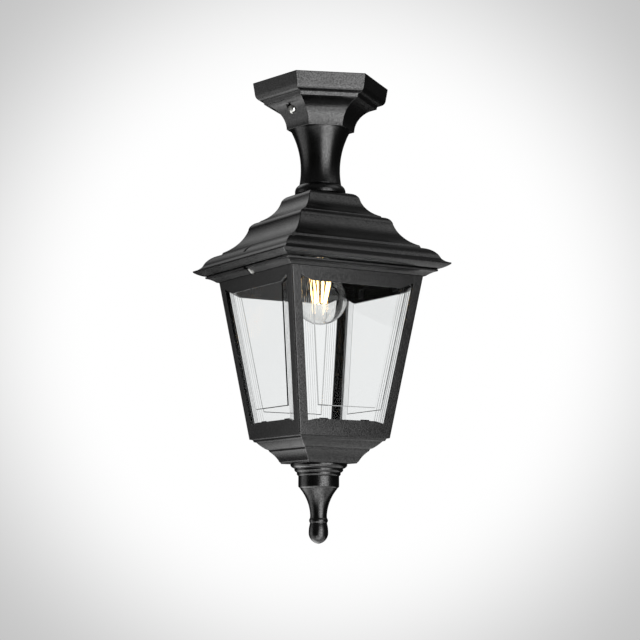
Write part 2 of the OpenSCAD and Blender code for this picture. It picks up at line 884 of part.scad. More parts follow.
module cornice() {
    color(cast_black)
        difference() {
            union() {
                square_moulded(cornice_outline);
                translate([hinge_x, 0, hinge_z])
                    lug(knuckle_w, [-knuckle_r - 3, -knuckle_r], [0, cornice_top_z - hinge_z]);
            }
            square_block(cornice_open_half, frame_top_z - 1, cornice_top_z + 1);
            translate([hinge_x, 0, hinge_z])
                rotate([90, 0, 0])
                    cylinder(h = knuckle_w + 2, r = hinge_pin_d / 2 + run_gap, center = true, $fn = round_fn);
            for (turn = sides)
                for (x = cornice_screw_at)
                    rotate([0, 0, turn])
                        translate([x, -cornice_screw_half, frame_top_z - 1]) {
                            cylinder(h = cornice_h + 2, r = screw_r, $fn = round_fn);
                            translate([0, 0, cornice_h + 1 - csk_t])
                                cylinder(h = csk_t + 1, r = csk_r, $fn = round_fn);
                        }
            translate([-far / 2, catch_offset - slit_w / 2, frame_top_z - 1])
                cube([far / 2 - frame_top_half + 2, slit_w, cornice_h + 2]);
            translate([catch_pivot.x, catch_offset, catch_pivot.y])
                rotate([90, 0, 0])
                    cylinder(h = catch_pin_len, r = pivot_r, center = true, $fn = round_fn);
        }
}

cornice_screw_len = cornice_h + 5;

module cornice_screws() {
    color(zinc)
        for (turn = sides)
            for (x = cornice_screw_at)
                rotate([0, 0, turn])
                    translate([x, -cornice_screw_half, cornice_top_z]) {
                        translate([0, 0, -csk_t])
                            cylinder(h = csk_t, r = csk_r, $fn = round_fn);
                        translate([0, 0, -cornice_screw_len])
                            cylinder(h = cornice_screw_len, r = screw_r, $fn = round_fn);
                    }
}

module catch_pin() {
    color("#c7cacd")
        translate([catch_pivot.x, catch_offset, catch_pivot.y])
            rotate([90, 0, 0])
                cylinder(h = catch_pin_len, r = pivot_r, center = true, $fn = round_fn);
}

// Thin lever on edge: its nose stands behind the slit in the roof and its tail in the
// slit through the cornice, by the slit's wall. A hub on its pin fills the slit's width.
catch_rise = 19;
hub_r = 1.8;
slit_gap = 0.3;
blade_y = catch_offset - slit_w / 2 + slit_gap + catch_t / 2;

module catch_lever() {
    color("#9a9ea3")
        difference() {
            union() {
                translate([catch_pivot.x, blade_y, catch_pivot.y])
                    rotate([90, 0, 0])
                        linear_extrude(catch_t, center = true)
                            polygon([
                                [1.2, -1.9], [-1.2, -3], [-1.2, -4], [-3, -3.8], [-5, -1.7],
                                [-7.3, 0.3], [-6.8, 2.1], [-4.4, 3.6], [-3.6, catch_rise - 4],
                                [-4.2, catch_rise - 2.5], [-2, catch_rise], [0.2, catch_rise], [1, 3.6]
                            ]);
                translate([catch_pivot.x, catch_offset, catch_pivot.y])
                    rotate([90, 0, 0])
                        cylinder(h = slit_w - 2 * slit_gap, r = hub_r, center = true, $fn = round_fn);
            }
            translate([catch_pivot.x, catch_offset, catch_pivot.y])
                rotate([90, 0, 0])
                    cylinder(h = slit_w, r = pivot_r + run_gap, center = true, $fn = round_fn);
        }
}

// The window opening of a side frame, which runs up and down into ears at its corners
opening_top = top_rail - top_ear_rise;
opening_foot = slope_len - bottom_rail + bottom_ear_rise;
ear_top_half = side_half(opening_top) - stile_w;
ear_foot_half = side_half(opening_foot) - stile_w;
opening_half = [
    [ear_top_half - top_ear_run, -top_rail],
    [ear_top_half, -opening_top],
    [ear_foot_half, -opening_foot],
    [ear_foot_half - bottom_ear_run, bottom_rail - slope_len]
];

// A pane's outline; its edges run beside the stiles and lap the rails
pane_top = opening_top - pane_lap;
pane_foot = opening_foot + pane_lap;
function pane_half(d) = side_half(d) - stile_w + pane_land;

module pane_outline(grow = 0) {
    top = [pane_half(pane_top) + grow, grow - pane_top];
    foot = [pane_half(pane_foot) + grow, -pane_foot - grow];
    polygon([top, foot, [-foot.x, foot.y], [-top.x, top.y]]);
}

pane_seat_gap = 0.1;

module side_frame(turn) {
    color(cast_black)
        difference() {
            intersection() {
                on_side(turn)
                    translate([0, 0, -frame_t])
                        difference() {
                            linear_extrude(frame_t)
                                difference() {
                                    square(far, center = true);
                                    polygon(concat(opening_half, mirrored(opening_half)));
                                }
                            translate([0, 0, -1])
                                linear_extrude(frame_t - frame_web + 1)
                                    pane_outline(pane_seat_gap);
                        }
                rotate([0, 0, turn])
                    translate([0, 0, frame_foot_z])
                        linear_extrude(frame_h)
                            polygon([[0, 0], [-far, -far], [far, -far]]);
            }
            for (corner = [-45, 45])
                rotate([0, 0, turn + corner])
                    translate([0, corner_chamfer - frame_top_half * sqrt(2), frame_top_z])
                        rotate([90 + corner_lean, 0, 0])
                            translate([-far / 2, -far, 0])
                                cube([far, 2 * far, far]);
            rotate([0, 0, turn]) {
                for (x = cornice_screw_at)
                    translate([x, -cornice_screw_half, cornice_top_z - cornice_screw_len])
                        cylinder(h = cornice_screw_len, r = screw_r, $fn = round_fn);
                tray_screw_hole();
            }
            on_side(turn)
                for (at = clip_places)
                    translate([at.x, at.y, -frame_t - 1])
                        cylinder(h = 3.4, r = clip_screw_r, $fn = round_fn);
        }
}

module side_frame_front() side_frame(0);

module side_frame_right() side_frame(90);

module side_frame_back() side_frame(180);

module side_frame_left() side_frame(270);

// A bevelled pane: a plain border, a shallow slope all round and a raised flat middle
module glass(turn) {
    top = [pane_half(pane_top), -pane_top];
    foot = [pane_half(pane_foot), -pane_foot];
    corners = [top, [-top.x, top.y], [-foot.x, foot.y], foot];
    lands = [pane_lap + top_ear_rise, pane_land, pane_lap + bottom_ear_rise, pane_land];
    color(clear)
        on_side(turn)
            translate([0, 0, -frame_t])
                difference() {
                    linear_extrude(frame_t - frame_web + bevel_rise)
                        pane_outline();
                    for (i = [0:3])
                        bevel_cut(corners[i], corners[(i + 1) % 4], lands[i]);
                }
}

// Takes the plain land and the bevel off one edge of a pane, which runs from p to q with
// the pane on its left
module bevel_cut(p, q, land) {
    along = q - p;
    translate([p.x, p.y, frame_t - frame_web])
        rotate([0, 0, atan2(along.y, along.x)]) {
            translate([-far / 4, -far / 4, 0])
                cube([far, far / 4 + land, 2 * bevel_rise]);
            translate([0, land, 0])
                rotate([atan(bevel_rise / bevel_w), 0, 0])
                    translate([-far / 4, 0, 0])
                        cube([far, 3 * bevel_w, 2 * bevel_rise]);
        }
}

module glass_front() glass(0);

module glass_right() glass(90);

module glass_back() glass(180);

module glass_left() glass(270);

// Spring clips that hold the panes, two at the top and two at the foot of each side
clip_screw_r = 1.25;
clip_top_x = 34;
clip_foot_x = 24;
clip_in = 2.3;
clip_back = 1.9;
clip_reach = 8;
clip_places = concat(
    [for (x = [-clip_top_x, clip_top_x]) [x, clip_in - pane_top]],
    [for (x = [-clip_foot_x, clip_foot_x]) [x, -pane_foot - clip_in]]
);

module glass_clips() {
    color(black_oxide)
        for (turn = sides)
            on_side(turn)
                for (i = [0:3]) {
                    towards = i < 2 ? -1 : 1;
                    translate([clip_places[i].x, clip_places[i].y, -frame_t - clip_t])
                        difference() {
                            translate([-clip_w / 2, towards > 0 ? -clip_back : -clip_reach, 0])
                                cube([clip_w, clip_back + clip_reach, clip_t]);
                            translate([0, 0, -1])
                                cylinder(h = clip_t + 2, r = clip_screw_r, $fn = round_fn);
                        }
                }
}

module clip_screws() {
    color(black_oxide)
        for (turn = sides)
            on_side(turn)
                for (at = clip_places)
                    translate([at.x, at.y, -frame_t - clip_t]) {
                        translate([0, 0, -1.2])
                            cylinder(h = 1.2, r = 2.1, $fn = round_fn);
                        cylinder(h = clip_t + 2.2, r = clip_screw_r, $fn = round_fn);
                    }
}

// ---------------------------------------------------------------- tray and finial

tray_band = [frame_foot_half - 2.8, frame_foot_z - 0.6];
tray_band_foot = [frame_foot_half - 3.8, tray_slope_top_z + 0.6];
tray_slope_top = [frame_foot_half - 5.8, tray_slope_top_z];
tray_slope_foot = [tray_mid_half + 1.8, tray_slope_foot_z + 0.7];
tray_hollow_top = [tray_mid_half - 0.9, tray_slope_foot_z - 2];
tray_hollow_foot = [tray_foot_half + 1.4, tray_foot_z + 2];
tray_outline = concat(
    [[frame_foot_half, frame_foot_z], tray_band, tray_band_foot, tray_slope_top],
    arc(tray_slope_top, tray_slope_foot, -16, 4),
    [[tray_mid_half, tray_slope_foot_z], tray_hollow_top],
    arc(tray_hollow_top, tray_hollow_foot, 26, 6),
    [[tray_foot_half + 0.6, tray_foot_z + 1.2], [tray_foot_half, tray_foot_z]]
);
tray_lug_w = 16;
tray_lug_h = 9;
tray_lug_t = 3;
tray_lug_half = frame_foot_half - frame_t - 0.3;
tray_screw_z = frame_foot_z + 5;
tray_screw_r = 1.5;

module tray_screw_hole() {
    translate([0, -tray_lug_half - 3.6, tray_screw_z])
        rotate([-90, 0, 0])
            cylinder(h = 10, r = tray_screw_r, $fn = round_fn);
}

module bottom_tray() {
    inside_foot_z = tray_foot_z + tray_wall;
    color(cast_black)
        difference() {
            union() {
                square_moulded(tray_outline);
                for (turn = sides)
                    rotate([0, 0, turn])
                        translate([-tray_lug_w / 2, -tray_lug_half, frame_foot_z - tray_lug_t])
                            cube([tray_lug_w, tray_lug_t, tray_lug_h + tray_lug_t]);
            }
            intersection() {
                square_moulded(moved(tray_outline, [-tray_wall - 1, tray_wall]));
                square_block(tray_lug_half - tray_lug_t, inside_foot_z, frame_foot_z + tray_wall + 1);
            }
            for (turn = sides)
                rotate([0, 0, turn])
                    tray_screw_hole();
            translate([0, 0, tray_foot_z - 1])
                cylinder(h = tray_wall + 2, r = stud_r + 0.2, $fn = round_fn);
            translate([0.6 * tray_foot_half, 0.6 * tray_foot_half, tray_foot_z - 1])
                cylinder(h = tray_wall + 2, r = 2.5, $fn = round_fn);
        }
}

module tray_screws() {
    color(zinc)
        for (turn = sides)
            rotate([0, 0, turn])
                translate([0, tray_lug_t - tray_lug_half, tray_screw_z])
                    rotate([90, 0, 0]) {
                        translate([0, 0, -1.8])
                            cylinder(h = 1.8, r = 2.6, $fn = round_fn);
                        cylinder(h = tray_lug_t + 3.6, r = tray_screw_r, $fn = round_fn);
                    }
}

module finial_base() {
    ring1 = [base_r, tray_foot_z - 1.8];
    ring1_foot = [base_r - 3.4, tray_foot_z - 4.8];
    ring2 = [base_r - 4.1, tray_foot_z - 6.8];
    ring2_foot = [drum_r + 1.85, tray_foot_z - 8.8];
    ring3 = [drum_r + 1.55, base_foot_z + 1.8];
    color(cast_black)
        turned(concat(
            [[stud_r, tray_foot_z], [base_r, tray_foot_z], ring1],
            arc(ring1, ring1_foot, -50, 4),
            [[ring2.x, ring1_foot.y - 0.3], ring2],
            arc(ring2, ring2_foot, -50, 4),
            [[ring3.x, ring2_foot.y - 0.3], ring3],
            arc(ring3, [drum_r, base_foot_z], -40, 3),
            [[stud_r, base_foot_z]]
        ));
}

module finial() {
    drum_edge = [drum_r, drum_foot_z + 0.6];
    drum_under = [drum_r - 0.8, drum_foot_z - 1];
    drop_top = [drum_r - 2.2, drop_top_z];
    drop_foot = [drop_r, drop_foot_z];
    bead_top = [drop_r + 0.2, drop_foot_z - 2.3];
    bead_foot = [drop_r + 0.3, drop_foot_z - 6.9];
    acorn_top = [drop_r + 0.3, acorn_top_z];
    acorn_wide = [acorn_r, acorn_top_z - acorn_h / 2.6];
    stud_foot_z = base_foot_z - stud_reach - 2;
    color(cast_black)
        difference() {
            turned(concat(
                [[0, base_foot_z], [drum_r, base_foot_z], drum_edge],
                arc(drum_edge, drum_under, -50, 3),
                [[drum_r - 1.6, drum_foot_z - 1.6], drop_top],
                arc(drop_top, drop_foot, 37, 12),
                [bead_top],
                arc(bead_top, bead_foot, -80, 6),
                [[drop_r + 0.2, acorn_top_z + 0.6], acorn_top],
                arc(acorn_top, acorn_wide, -14, 4),
                arc(acorn_wide, [0, tip_z], -88, 10)
            ));
            translate([0, 0, stud_foot_z])
                cylinder(h = base_foot_z - stud_foot_z + 1, r = stud_r, $fn = round_fn);
        }
}

finial_nut_t = 5;
finial_nut_z = tray_foot_z + tray_wall;

module finial_stud() {
    foot_z = base_foot_z - stud_reach;
    color(zinc)
        translate([0, 0, foot_z])
            cylinder(h = finial_nut_z + finial_nut_t + 3 - foot_z, r = stud_r, $fn = round_fn);
}

module finial_nut() {
    color(zinc)
        translate([0, 0, finial_nut_z])
            hex_nut(10, finial_nut_t, 2 * stud_r);
}

ceiling_bracket();
terminal_block();
terminal_screws();
earth_screw();
lead_live();
lead_neutral();
lead_earth();
canopy();
canopy_screws();
neck();
neck_collar();
stem_tube();
stem_nuts();
stem_washers();
roof();
hinge_pin();
lampholder_cap();
lampholder_skirt();
lampholder_insert();
lampholder_shell();
lampholder_contact();
lamp_envelope();
lamp_cap();
lamp_cap_insulator();
lamp_cap_contact();
lamp_stem();
lamp_filaments();
lamp_wires();
cornice();
cornice_screws();
catch_pin();
catch_lever();
side_frame_front();
side_frame_right();
side_frame_back();
side_frame_left();
glass_front();
glass_right();
glass_back();
glass_left();
glass_clips();
clip_screws();
bottom_tray();
tray_screws();
finial_base();
finial();
finial_stud();
finial_nut();
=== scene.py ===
import math

import bmesh
import bpy
from bpy.props import FloatProperty, FloatVectorProperty, IntProperty, PointerProperty
from mathutils import Matrix, Vector


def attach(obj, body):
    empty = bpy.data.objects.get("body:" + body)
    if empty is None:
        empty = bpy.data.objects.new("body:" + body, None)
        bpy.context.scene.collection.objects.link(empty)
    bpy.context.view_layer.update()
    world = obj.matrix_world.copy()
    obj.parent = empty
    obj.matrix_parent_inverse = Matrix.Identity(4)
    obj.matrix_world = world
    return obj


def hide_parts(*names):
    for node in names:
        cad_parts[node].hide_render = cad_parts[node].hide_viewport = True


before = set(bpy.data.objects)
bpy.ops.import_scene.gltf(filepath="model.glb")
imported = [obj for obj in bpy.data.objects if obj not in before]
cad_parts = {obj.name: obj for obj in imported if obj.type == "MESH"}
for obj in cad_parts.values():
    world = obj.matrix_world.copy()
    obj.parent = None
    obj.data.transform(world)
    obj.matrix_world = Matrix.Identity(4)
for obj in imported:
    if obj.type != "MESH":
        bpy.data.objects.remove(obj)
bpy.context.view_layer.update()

bl_info = {
    "name": "Porch Ceiling Lantern",
    "version": (1, 0, 0),
    "blender": (4, 5, 0),
    "location": "View3D > Sidebar > Lantern",
    "description": "Dresses the lantern's CAD frame with finished castings, glass, lamp and studio",
    "category": "Object",
}

MM = 0.001
GUARD = 1e-9
UP = Vector((0, 0, 1))


def linear(hex_colour):
    """Linear RGBA of an sRGB hex colour."""
    channels = [int(hex_colour[i:i + 2], 16) / 255 for i in (1, 3, 5)]
    return tuple(c / 12.92 if c <= 0.04045 else ((c + 0.055) / 1.055) ** 2.4 for c in channels) + (1.0,)


# ------------------------------------------------------------------ settings


def length(name, description, default, low, high):
    """A length in metres that a user can set."""
    return FloatProperty(name=name, description=description, default=default, min=low, max=high,
                         subtype="DISTANCE", unit="LENGTH")


def colour(name, description, default):
    """A colour that a user can set, from its sRGB hex value."""
    return FloatVectorProperty(name=name, description=description, default=linear(default), min=0, max=1,
                               size=4, subtype="COLOR")


def brightness(name, description, default, high=50):
    """A brightness that a user can set, where 1 is white paper."""
    return FloatProperty(name=name, description=description, default=default, min=0, max=high)


class LanternSizes(bpy.types.PropertyGroup):
    canopy_flats: length("Canopy width", "Across the flats of the canopy's rim", 0.124, 0.118, 0.136)
    canopy_height: length(
        "Canopy height", "From the ceiling to the foot of the canopy's cove", 0.048, 0.046, 0.056)
    neck_height: length("Neck height", "From the canopy's foot to the collar", 0.058, 0.05, 0.07)
    collar_height: length("Collar height", "Height of the bead at the neck's foot", 0.0095, 0.008, 0.012)
    frame_top: length(
        "Cage half width, top", "From the axis to the outer face at the top of the frames",
        0.0774, 0.0765, 0.078)
    frame_foot: length(
        "Cage half width, foot", "From the axis to the outer face at the foot of the frames",
        0.053, 0.05, 0.056)
    frame_height: length("Frame height", "Height of the four side frames", 0.1645, 0.15, 0.185)
    arris: length(
        "Casting arris", "Radius where two faces of a casting meet at a corner", 0.0008, 0.0002, 0.002)
    ease: length(
        "Moulding ease", "Radius that the powder coat leaves on a moulding's edges", 0.0006, 0.0001, 0.001)
    lamp_diameter: length("Lamp diameter", "Diameter of the lamp's glass", 0.055, 0.045, 0.06)
    grain: length(
        "Powder grain", "Width of the powder coat's orange peel, as coarse as it needs to show",
        0.0013, 0.0004, 0.003)
    curve_steps: IntProperty(
        name="Curve steps", description="Steps in each curve of a moulding", default=14, min=6, max=32)
    turn_steps: IntProperty(
        name="Turning steps", description="Steps round each turned piece", default=96, min=32, max=192)


class LanternColours(bpy.types.PropertyGroup):
    powder: colour("Powder coat", "Satin black of the castings", "#040404")
    steel: colour("Stainless steel", "Plain bright steel of the screws and pins", "#dededa")
    zinc: colour("Zinc plate", "Bluish plate on the hidden steelwork", "#b4b8bc")
    brass: colour("Brass", "Turned brass of the contacts and terminal screws", "#c9a251")
    pane: colour("Pane glass", "Faint tint of clear float glass", "#f7f8f8")
    glow: colour("Filament glow", "Warm white of the lit filaments", "#ffd38c")


class LanternStudio(bpy.types.PropertyGroup):
    key: brightness("Key lamp", "Big soft lamp in front on the right; 1 is white paper", 5.4)
    left: brightness("Left lamp", "Strip lamp on the left", 1.25)
    under: brightness("Under lamp", "Soft lamp in front below", 2.6)
    low_left: brightness("Low left lamp", "Soft lamp below on the left", 2.2)
    high_left: brightness("High left lamp", "Soft lamp above on the left", 1.0)
    high_right: brightness("High right lamp", "Soft lamp above on the right", 0.95)
    room: brightness("Room light", "What the room above the lamps sends back to shiny surfaces", 0.12, 1)
    floor: brightness("Floor light", "What the floor sends back to shiny surfaces", 0.7, 2)
    filament: brightness("Filament strength", "Strength of the lit filaments", 6.0, 100)


def measures():
    """The sizes, with lengths in millimetres, and the heights of the lantern's steps below the
    ceiling."""
    group = bpy.context.scene.lantern_sizes
    z = {}
    for prop in group.bl_rna.properties:
        if prop.type in ("FLOAT", "INT"):
            value = getattr(group, prop.identifier)
            z[prop.identifier] = value / MM if prop.type == "FLOAT" else value
    drops = (
        ("canopy_foot", z["canopy_height"]), ("collar_top", z["neck_height"]),
        ("roof_top", z["collar_height"]),
        ("tier1_top", 7.1), ("tier1_foot", 17.8), ("tier2_top", 1.6), ("tier2_nose", 7.6),
        ("tier2_foot", 22.3), ("tier3_step", 3.2), ("tier3_top", 0.2), ("tier3_foot", 11),
        ("lip_top", 4.8), ("lip_foot", 1.3), ("roof_foot", 4.7), ("cornice_top", 0.6),
        ("frame_top", 6.4), ("frame_foot", z["frame_height"]), ("tray_slope_top", 3.3),
        ("tray_slope_foot", 7.6), ("tray_foot", 14.4), ("base_foot", 12.6), ("drum_foot", 10.6),
        ("drop_top", 2.6), ("drop_foot", 27), ("acorn_top", 8), ("tip", 20.2),
    )
    at, level = {}, 0
    for name, drop in drops:
        level -= drop
        at[name] = level
    return z, at


# ------------------------------------------------------------------ outlines, in millimetres


def arc(p, q, turn, steps):
    """Points of an arc from p to q that turns by a number of degrees, without p itself.
    Down an outline, a positive turn is a hollow curve and a negative one a round nose."""
    p, q = Vector(p), Vector(q)
    chord = q - p
    half = math.radians(abs(turn)) / 2
    radius = chord.length / 2 / math.sin(half)
    side = 1 if turn > 0 else -1
    normal = Vector((-chord.y, chord.x)) / chord.length
    centre = (p + q) / 2 + side * radius * math.cos(half) * normal
    start = math.atan2(p.y - centre.y, p.x - centre.x)
    step = math.radians(turn) / steps
    return [
        (centre.x + radius * math.cos(start + step * i), centre.y + radius * math.sin(start + step * i))
        for i in range(1, steps + 1)
    ]


def moved(points, dx, dy):
    return [(x + dx, y + dy) for x, y in points]


EASE_STEPS = 3
EASE_OVER = math.radians(20)
EASE_SHARE = 0.42


def eased(loop, radius):
    """A closed outline with its corners rounded, but for faint ones and those on the axis. A
    rounding takes up no more than a share of the edges beside it."""
    result = []
    count = len(loop)
    for i in range(count):
        before, here, after = (Vector(loop[(i + k) % count]) for k in (-1, 0, 1))
        a, b = before - here, after - here
        if a.length < GUARD or b.length < GUARD:
            continue
        bend = math.pi - a.angle(b)
        if bend < EASE_OVER or here.x < GUARD:
            result.append(tuple(here))
            continue
        reach = min(radius * math.tan(bend / 2), EASE_SHARE * a.length, EASE_SHARE * b.length)
        start, end = here + a.normalized() * reach, here + b.normalized() * reach
        for k in range(EASE_STEPS + 1):
            t = k / EASE_STEPS
            point = (1 - t) ** 2 * start + 2 * t * (1 - t) * here + t * t * end
            result.append(tuple(point))
    return result


# ------------------------------------------------------------------ node trees


def add(tree, kind, inputs=(), **values):
    """Adds a node with its settings. Its inputs are given by name or in order, and one that is
    given as a socket, or as a node for that node's first output, is linked."""
    node = tree.nodes.new(kind)
    for name, value in values.items():
        setattr(node, name, value)
    open_inputs = [socket for socket in node.inputs if socket.enabled]
    by_key = {socket.name: socket for socket in open_inputs} | dict(enumerate(open_inputs))
    for key, value in inputs.items() if isinstance(inputs, dict) else enumerate(inputs):
        if isinstance(value, bpy.types.Node):
            value = next(socket for socket in value.outputs if socket.enabled)
        if isinstance(value, bpy.types.NodeSocket):
            tree.links.new(value, by_key[key])
        else:
            by_key[key].default_value = value
    return node


def geometry_tree(name, sockets):
    """An empty Geometry Nodes tree with named inputs. Returns it and its inputs by name."""
    tree = bpy.data.node_groups.new(name, "GeometryNodeTree")
    tree.interface.new_socket("Geometry", in_out="INPUT", socket_type="NodeSocketGeometry")
    for label, kind in sockets:
        tree.interface.new_socket(label, in_out="INPUT", socket_type="NodeSocket" + kind)
    tree.interface.new_socket("Geometry", in_out="OUTPUT", socket_type="NodeSocketGeometry")
    return tree, {socket.name: socket for socket in tree.nodes.new("NodeGroupInput").outputs}


def close_tree(tree, given, geometry):
    """Ends a tree with Realize Instances and Set Material."""
    real = add(tree, "GeometryNodeRealizeInstances", [geometry])
    dressed = add(tree, "GeometryNodeSetMaterial", {"Geometry": real, "Material": given["Material"]})
    add(tree, "NodeGroupOutput", [dressed])
    return tree


def moulding_tree(name):
    """Carries an outline round a regular plan with rounded corners: the outline's vertices
    give half width and level, and every corner of the plan is an arc."""
    tree, given = geometry_tree(name, (
        ("Sides", "Int"), ("Turn", "Float"), ("Arris", "Float"), ("Arris Steps", "Int"),
        ("Material", "Material")))
    outline = given["Geometry"]
    known = dict(given)
    known["rows"] = add(tree, "GeometryNodeAttributeDomainSize", [outline]).outputs["Point Count"]
    known["vertex"] = add(tree, "GeometryNodeInputIndex")
    # The grid's columns run round the plan, and its lines down the outline and back to its start
    for result, operation, *terms in (
            ("columns per corner", "ADD", "Arris Steps", 1),
            ("columns", "MULTIPLY_ADD", "Sides", "columns per corner", 1),
            ("lines", "ADD", "rows", 1),
            ("inside vertex", "ADD", "vertex", 0.5),
            ("columns so far", "DIVIDE", "inside vertex", "lines"),
            ("column", "FLOOR", "columns so far"),
            ("lines left", "MODULO", "inside vertex", "lines"),
            ("line", "FLOOR", "lines left"),
            ("row", "MODULO", "line", "rows"),
            ("inside column", "ADD", "column", 0.5),
            ("corners so far", "DIVIDE", "inside column", "columns per corner"),
            ("corner", "FLOOR", "corners so far"),
            ("steps left", "MODULO", "inside column", "columns per corner"),
            ("step", "FLOOR", "steps left"),
            ("side angle", "DIVIDE", math.tau, "Sides"),
            ("half angle", "MULTIPLY", "side angle", 0.5),
            ("lean", "COSINE", "half angle"),
            ("corner middle", "ADD", "corner", 0.5),
            ("corner angle", "MULTIPLY_ADD", "side angle", "corner middle", "Turn"),
            ("arris so far", "DIVIDE", "step", "Arris Steps"),
            ("arris share", "SUBTRACT", "arris so far", 0.5),
            ("face angle", "MULTIPLY_ADD", "side angle", "arris share", "corner angle")):
        known[result] = add(tree, "ShaderNodeMath", [known.get(t, t) for t in terms], operation=operation)
    grid = add(tree, "GeometryNodeMeshGrid", {"Vertices X": known["columns"], "Vertices Y": known["lines"]})
    point = add(tree, "GeometryNodeSampleIndex", {
        "Geometry": outline, "Value": add(tree, "GeometryNodeInputPosition"), "Index": known["row"]},
        data_type="FLOAT_VECTOR")
    place = add(tree, "ShaderNodeSeparateXYZ", [point])
    known["half width"] = place.outputs["X"]
    for result, operation, *terms in (
            ("flat", "SUBTRACT", "half width", "Arris"),
            ("reach", "DIVIDE", "flat", "lean"),
            ("corner x", "COSINE", "corner angle"), ("corner y", "SINE", "corner angle"),
            ("face x", "COSINE", "face angle"), ("face y", "SINE", "face angle"),
            ("arris x", "MULTIPLY", "Arris", "face x"), ("arris y", "MULTIPLY", "Arris", "face y"),
            ("x", "MULTIPLY_ADD", "reach", "corner x", "arris x"),
            ("y", "MULTIPLY_ADD", "reach", "corner y", "arris y")):
        known[result] = add(tree, "ShaderNodeMath", [known.get(t, t) for t in terms], operation=operation)
    spot = add(tree, "ShaderNodeCombineXYZ", [known["x"], known["y"], place.outputs["Z"]])
    placed = add(tree, "GeometryNodeSetPosition", {"Geometry": grid, "Position": spot})
    joined_up = add(tree, "GeometryNodeMergeByDistance", {"Geometry": placed, "Distance": 1e-6})
    return close_tree(tree, given, joined_up)


def fastener_tree(name):
    """Sets one item on every point, laid as the point says, and each turned at random about its
    own axis as hand-driven screws are."""
    tree, given = geometry_tree(name, (
        ("Item", "Object"), ("Spin", "Float"), ("Seed", "Int"), ("Material", "Material")))
    lay = add(tree, "GeometryNodeInputNamedAttribute", ["lay"], data_type="QUATERNION")
    angle = add(tree, "FunctionNodeRandomValue", {"Max": given["Spin"], "Seed": given["Seed"]},
                data_type="FLOAT")
    spin = add(tree, "FunctionNodeAxisAngleToRotation", {"Axis": UP, "Angle": angle})
    turned = add(tree, "FunctionNodeRotateRotation", [lay, spin], rotation_space="LOCAL")
    item = add(tree, "GeometryNodeObjectInfo", {"Object": given["Item"]}).outputs["Geometry"]
    copies = add(tree, "GeometryNodeInstanceOnPoints", {
        "Points": given["Geometry"], "Instance": item, "Rotation": turned})
    return close_tree(tree, given, copies)


def strand_tree(name):
    """A ring of straight strands that lean between two radii: the filament cone and its wires."""
    tree, given = geometry_tree(name, (
        ("Count", "Int"), ("Top Radius", "Float"), ("Top Level", "Float"), ("Foot Radius", "Float"),
        ("Foot Level", "Float"), ("Thickness", "Float"), ("Material", "Material")))
    ends = [add(tree, "ShaderNodeCombineXYZ", {"X": given[end + " Radius"], "Z": given[end + " Level"]})
            for end in ("Top", "Foot")]
    line = add(tree, "GeometryNodeCurvePrimitiveLine", {"Start": ends[0], "End": ends[1]})
    spots = add(tree, "GeometryNodePoints", {"Count": given["Count"]})
    number = add(tree, "GeometryNodeInputIndex")
    step = add(tree, "ShaderNodeMath", [math.tau, given["Count"]], operation="DIVIDE")
    angle = add(tree, "ShaderNodeMath", [number, step], operation="MULTIPLY")
    turn = add(tree, "FunctionNodeAxisAngleToRotation", {"Axis": UP, "Angle": angle})
    copies = add(tree, "GeometryNodeInstanceOnPoints", {"Points": spots, "Instance": line, "Rotation": turn})
    curves = add(tree, "GeometryNodeRealizeInstances", [copies])
    radius = add(tree, "ShaderNodeMath", [given["Thickness"], 0.5], operation="MULTIPLY")
    ring = add(tree, "GeometryNodeCurvePrimitiveCircle", {"Resolution": 16, "Radius": radius})
    tube = add(tree, "GeometryNodeCurveToMesh", {"Curve": curves, "Profile Curve": ring, "Fill Caps": True})
    return close_tree(tree, given, tube)


# ------------------------------------------------------------------ meshes


CRISP = math.radians(40)
MERGE = 1e-6
BLOCK = ((0, 2, 3, 1), (4, 5, 7, 6), (0, 1, 5, 4), (2, 6, 7, 3), (0, 4, 6, 2), (1, 3, 7, 5))


def mesh_object(name, points, faces=(), edges=()):
    """A linked mesh object from points in millimetres."""
    mesh = bpy.data.meshes.new(name)
    mesh.from_pydata([tuple(MM * c for c in p) for p in points], edges, faces)
    return linked(name, mesh)


def linked(name, mesh):
    piece = bpy.data.objects.new(name, mesh)
    bpy.context.scene.collection.objects.link(piece)
    return piece


def worked(mesh, *jobs):
    """Does jobs on a mesh, each a function of its bmesh."""
    work = bmesh.new()
    work.from_mesh(mesh)
    for job in jobs:
        job(work)
    work.to_mesh(mesh)
    work.free()


def plain(piece):
    """Turns a piece with modifiers into a plain mesh."""
    bpy.context.view_layer.update()
    evaluated = piece.evaluated_get(bpy.context.evaluated_depsgraph_get())
    mesh = bpy.data.meshes.new_from_object(evaluated)
    piece.modifiers.clear()
    old, piece.data = piece.data, mesh
    mesh.name = piece.name
    bpy.data.meshes.remove(old)
    return piece


def outward(piece):
    """Merges doubles and turns every face outwards."""
    worked(piece.data,
           lambda work: bmesh.ops.remove_doubles(work, verts=work.verts, dist=MERGE),
           lambda work: bmesh.ops.recalc_face_normals(work, faces=work.faces))
    return piece


def keep_crisp(work):
    for edge in work.edges:
        edge.smooth = edge.calc_face_angle(0) < CRISP


def smoothed(piece, bevel=0.0, least=30):
    """Rounds the edges over a number of degrees, or without a bevel keeps them crisp, and evens
    the shading over flat faces."""
    if bevel:
        rounding = piece.modifiers.new("Edges", "BEVEL")
        rounding.width = bevel * MM
        rounding.segments = 3
        rounding.limit_method = "ANGLE"
        rounding.angle_limit = math.radians(least)
    else:
        worked(piece.data, keep_crisp)
    piece.data.polygons.foreach_set("use_smooth", [True] * len(piece.data.polygons))
    even = piece.modifiers.new("Even shading", "WEIGHTED_NORMAL")
    even.mode = "FACE_AREA"
    even.weight = 80
    even.keep_sharp = True
    return plain(piece)


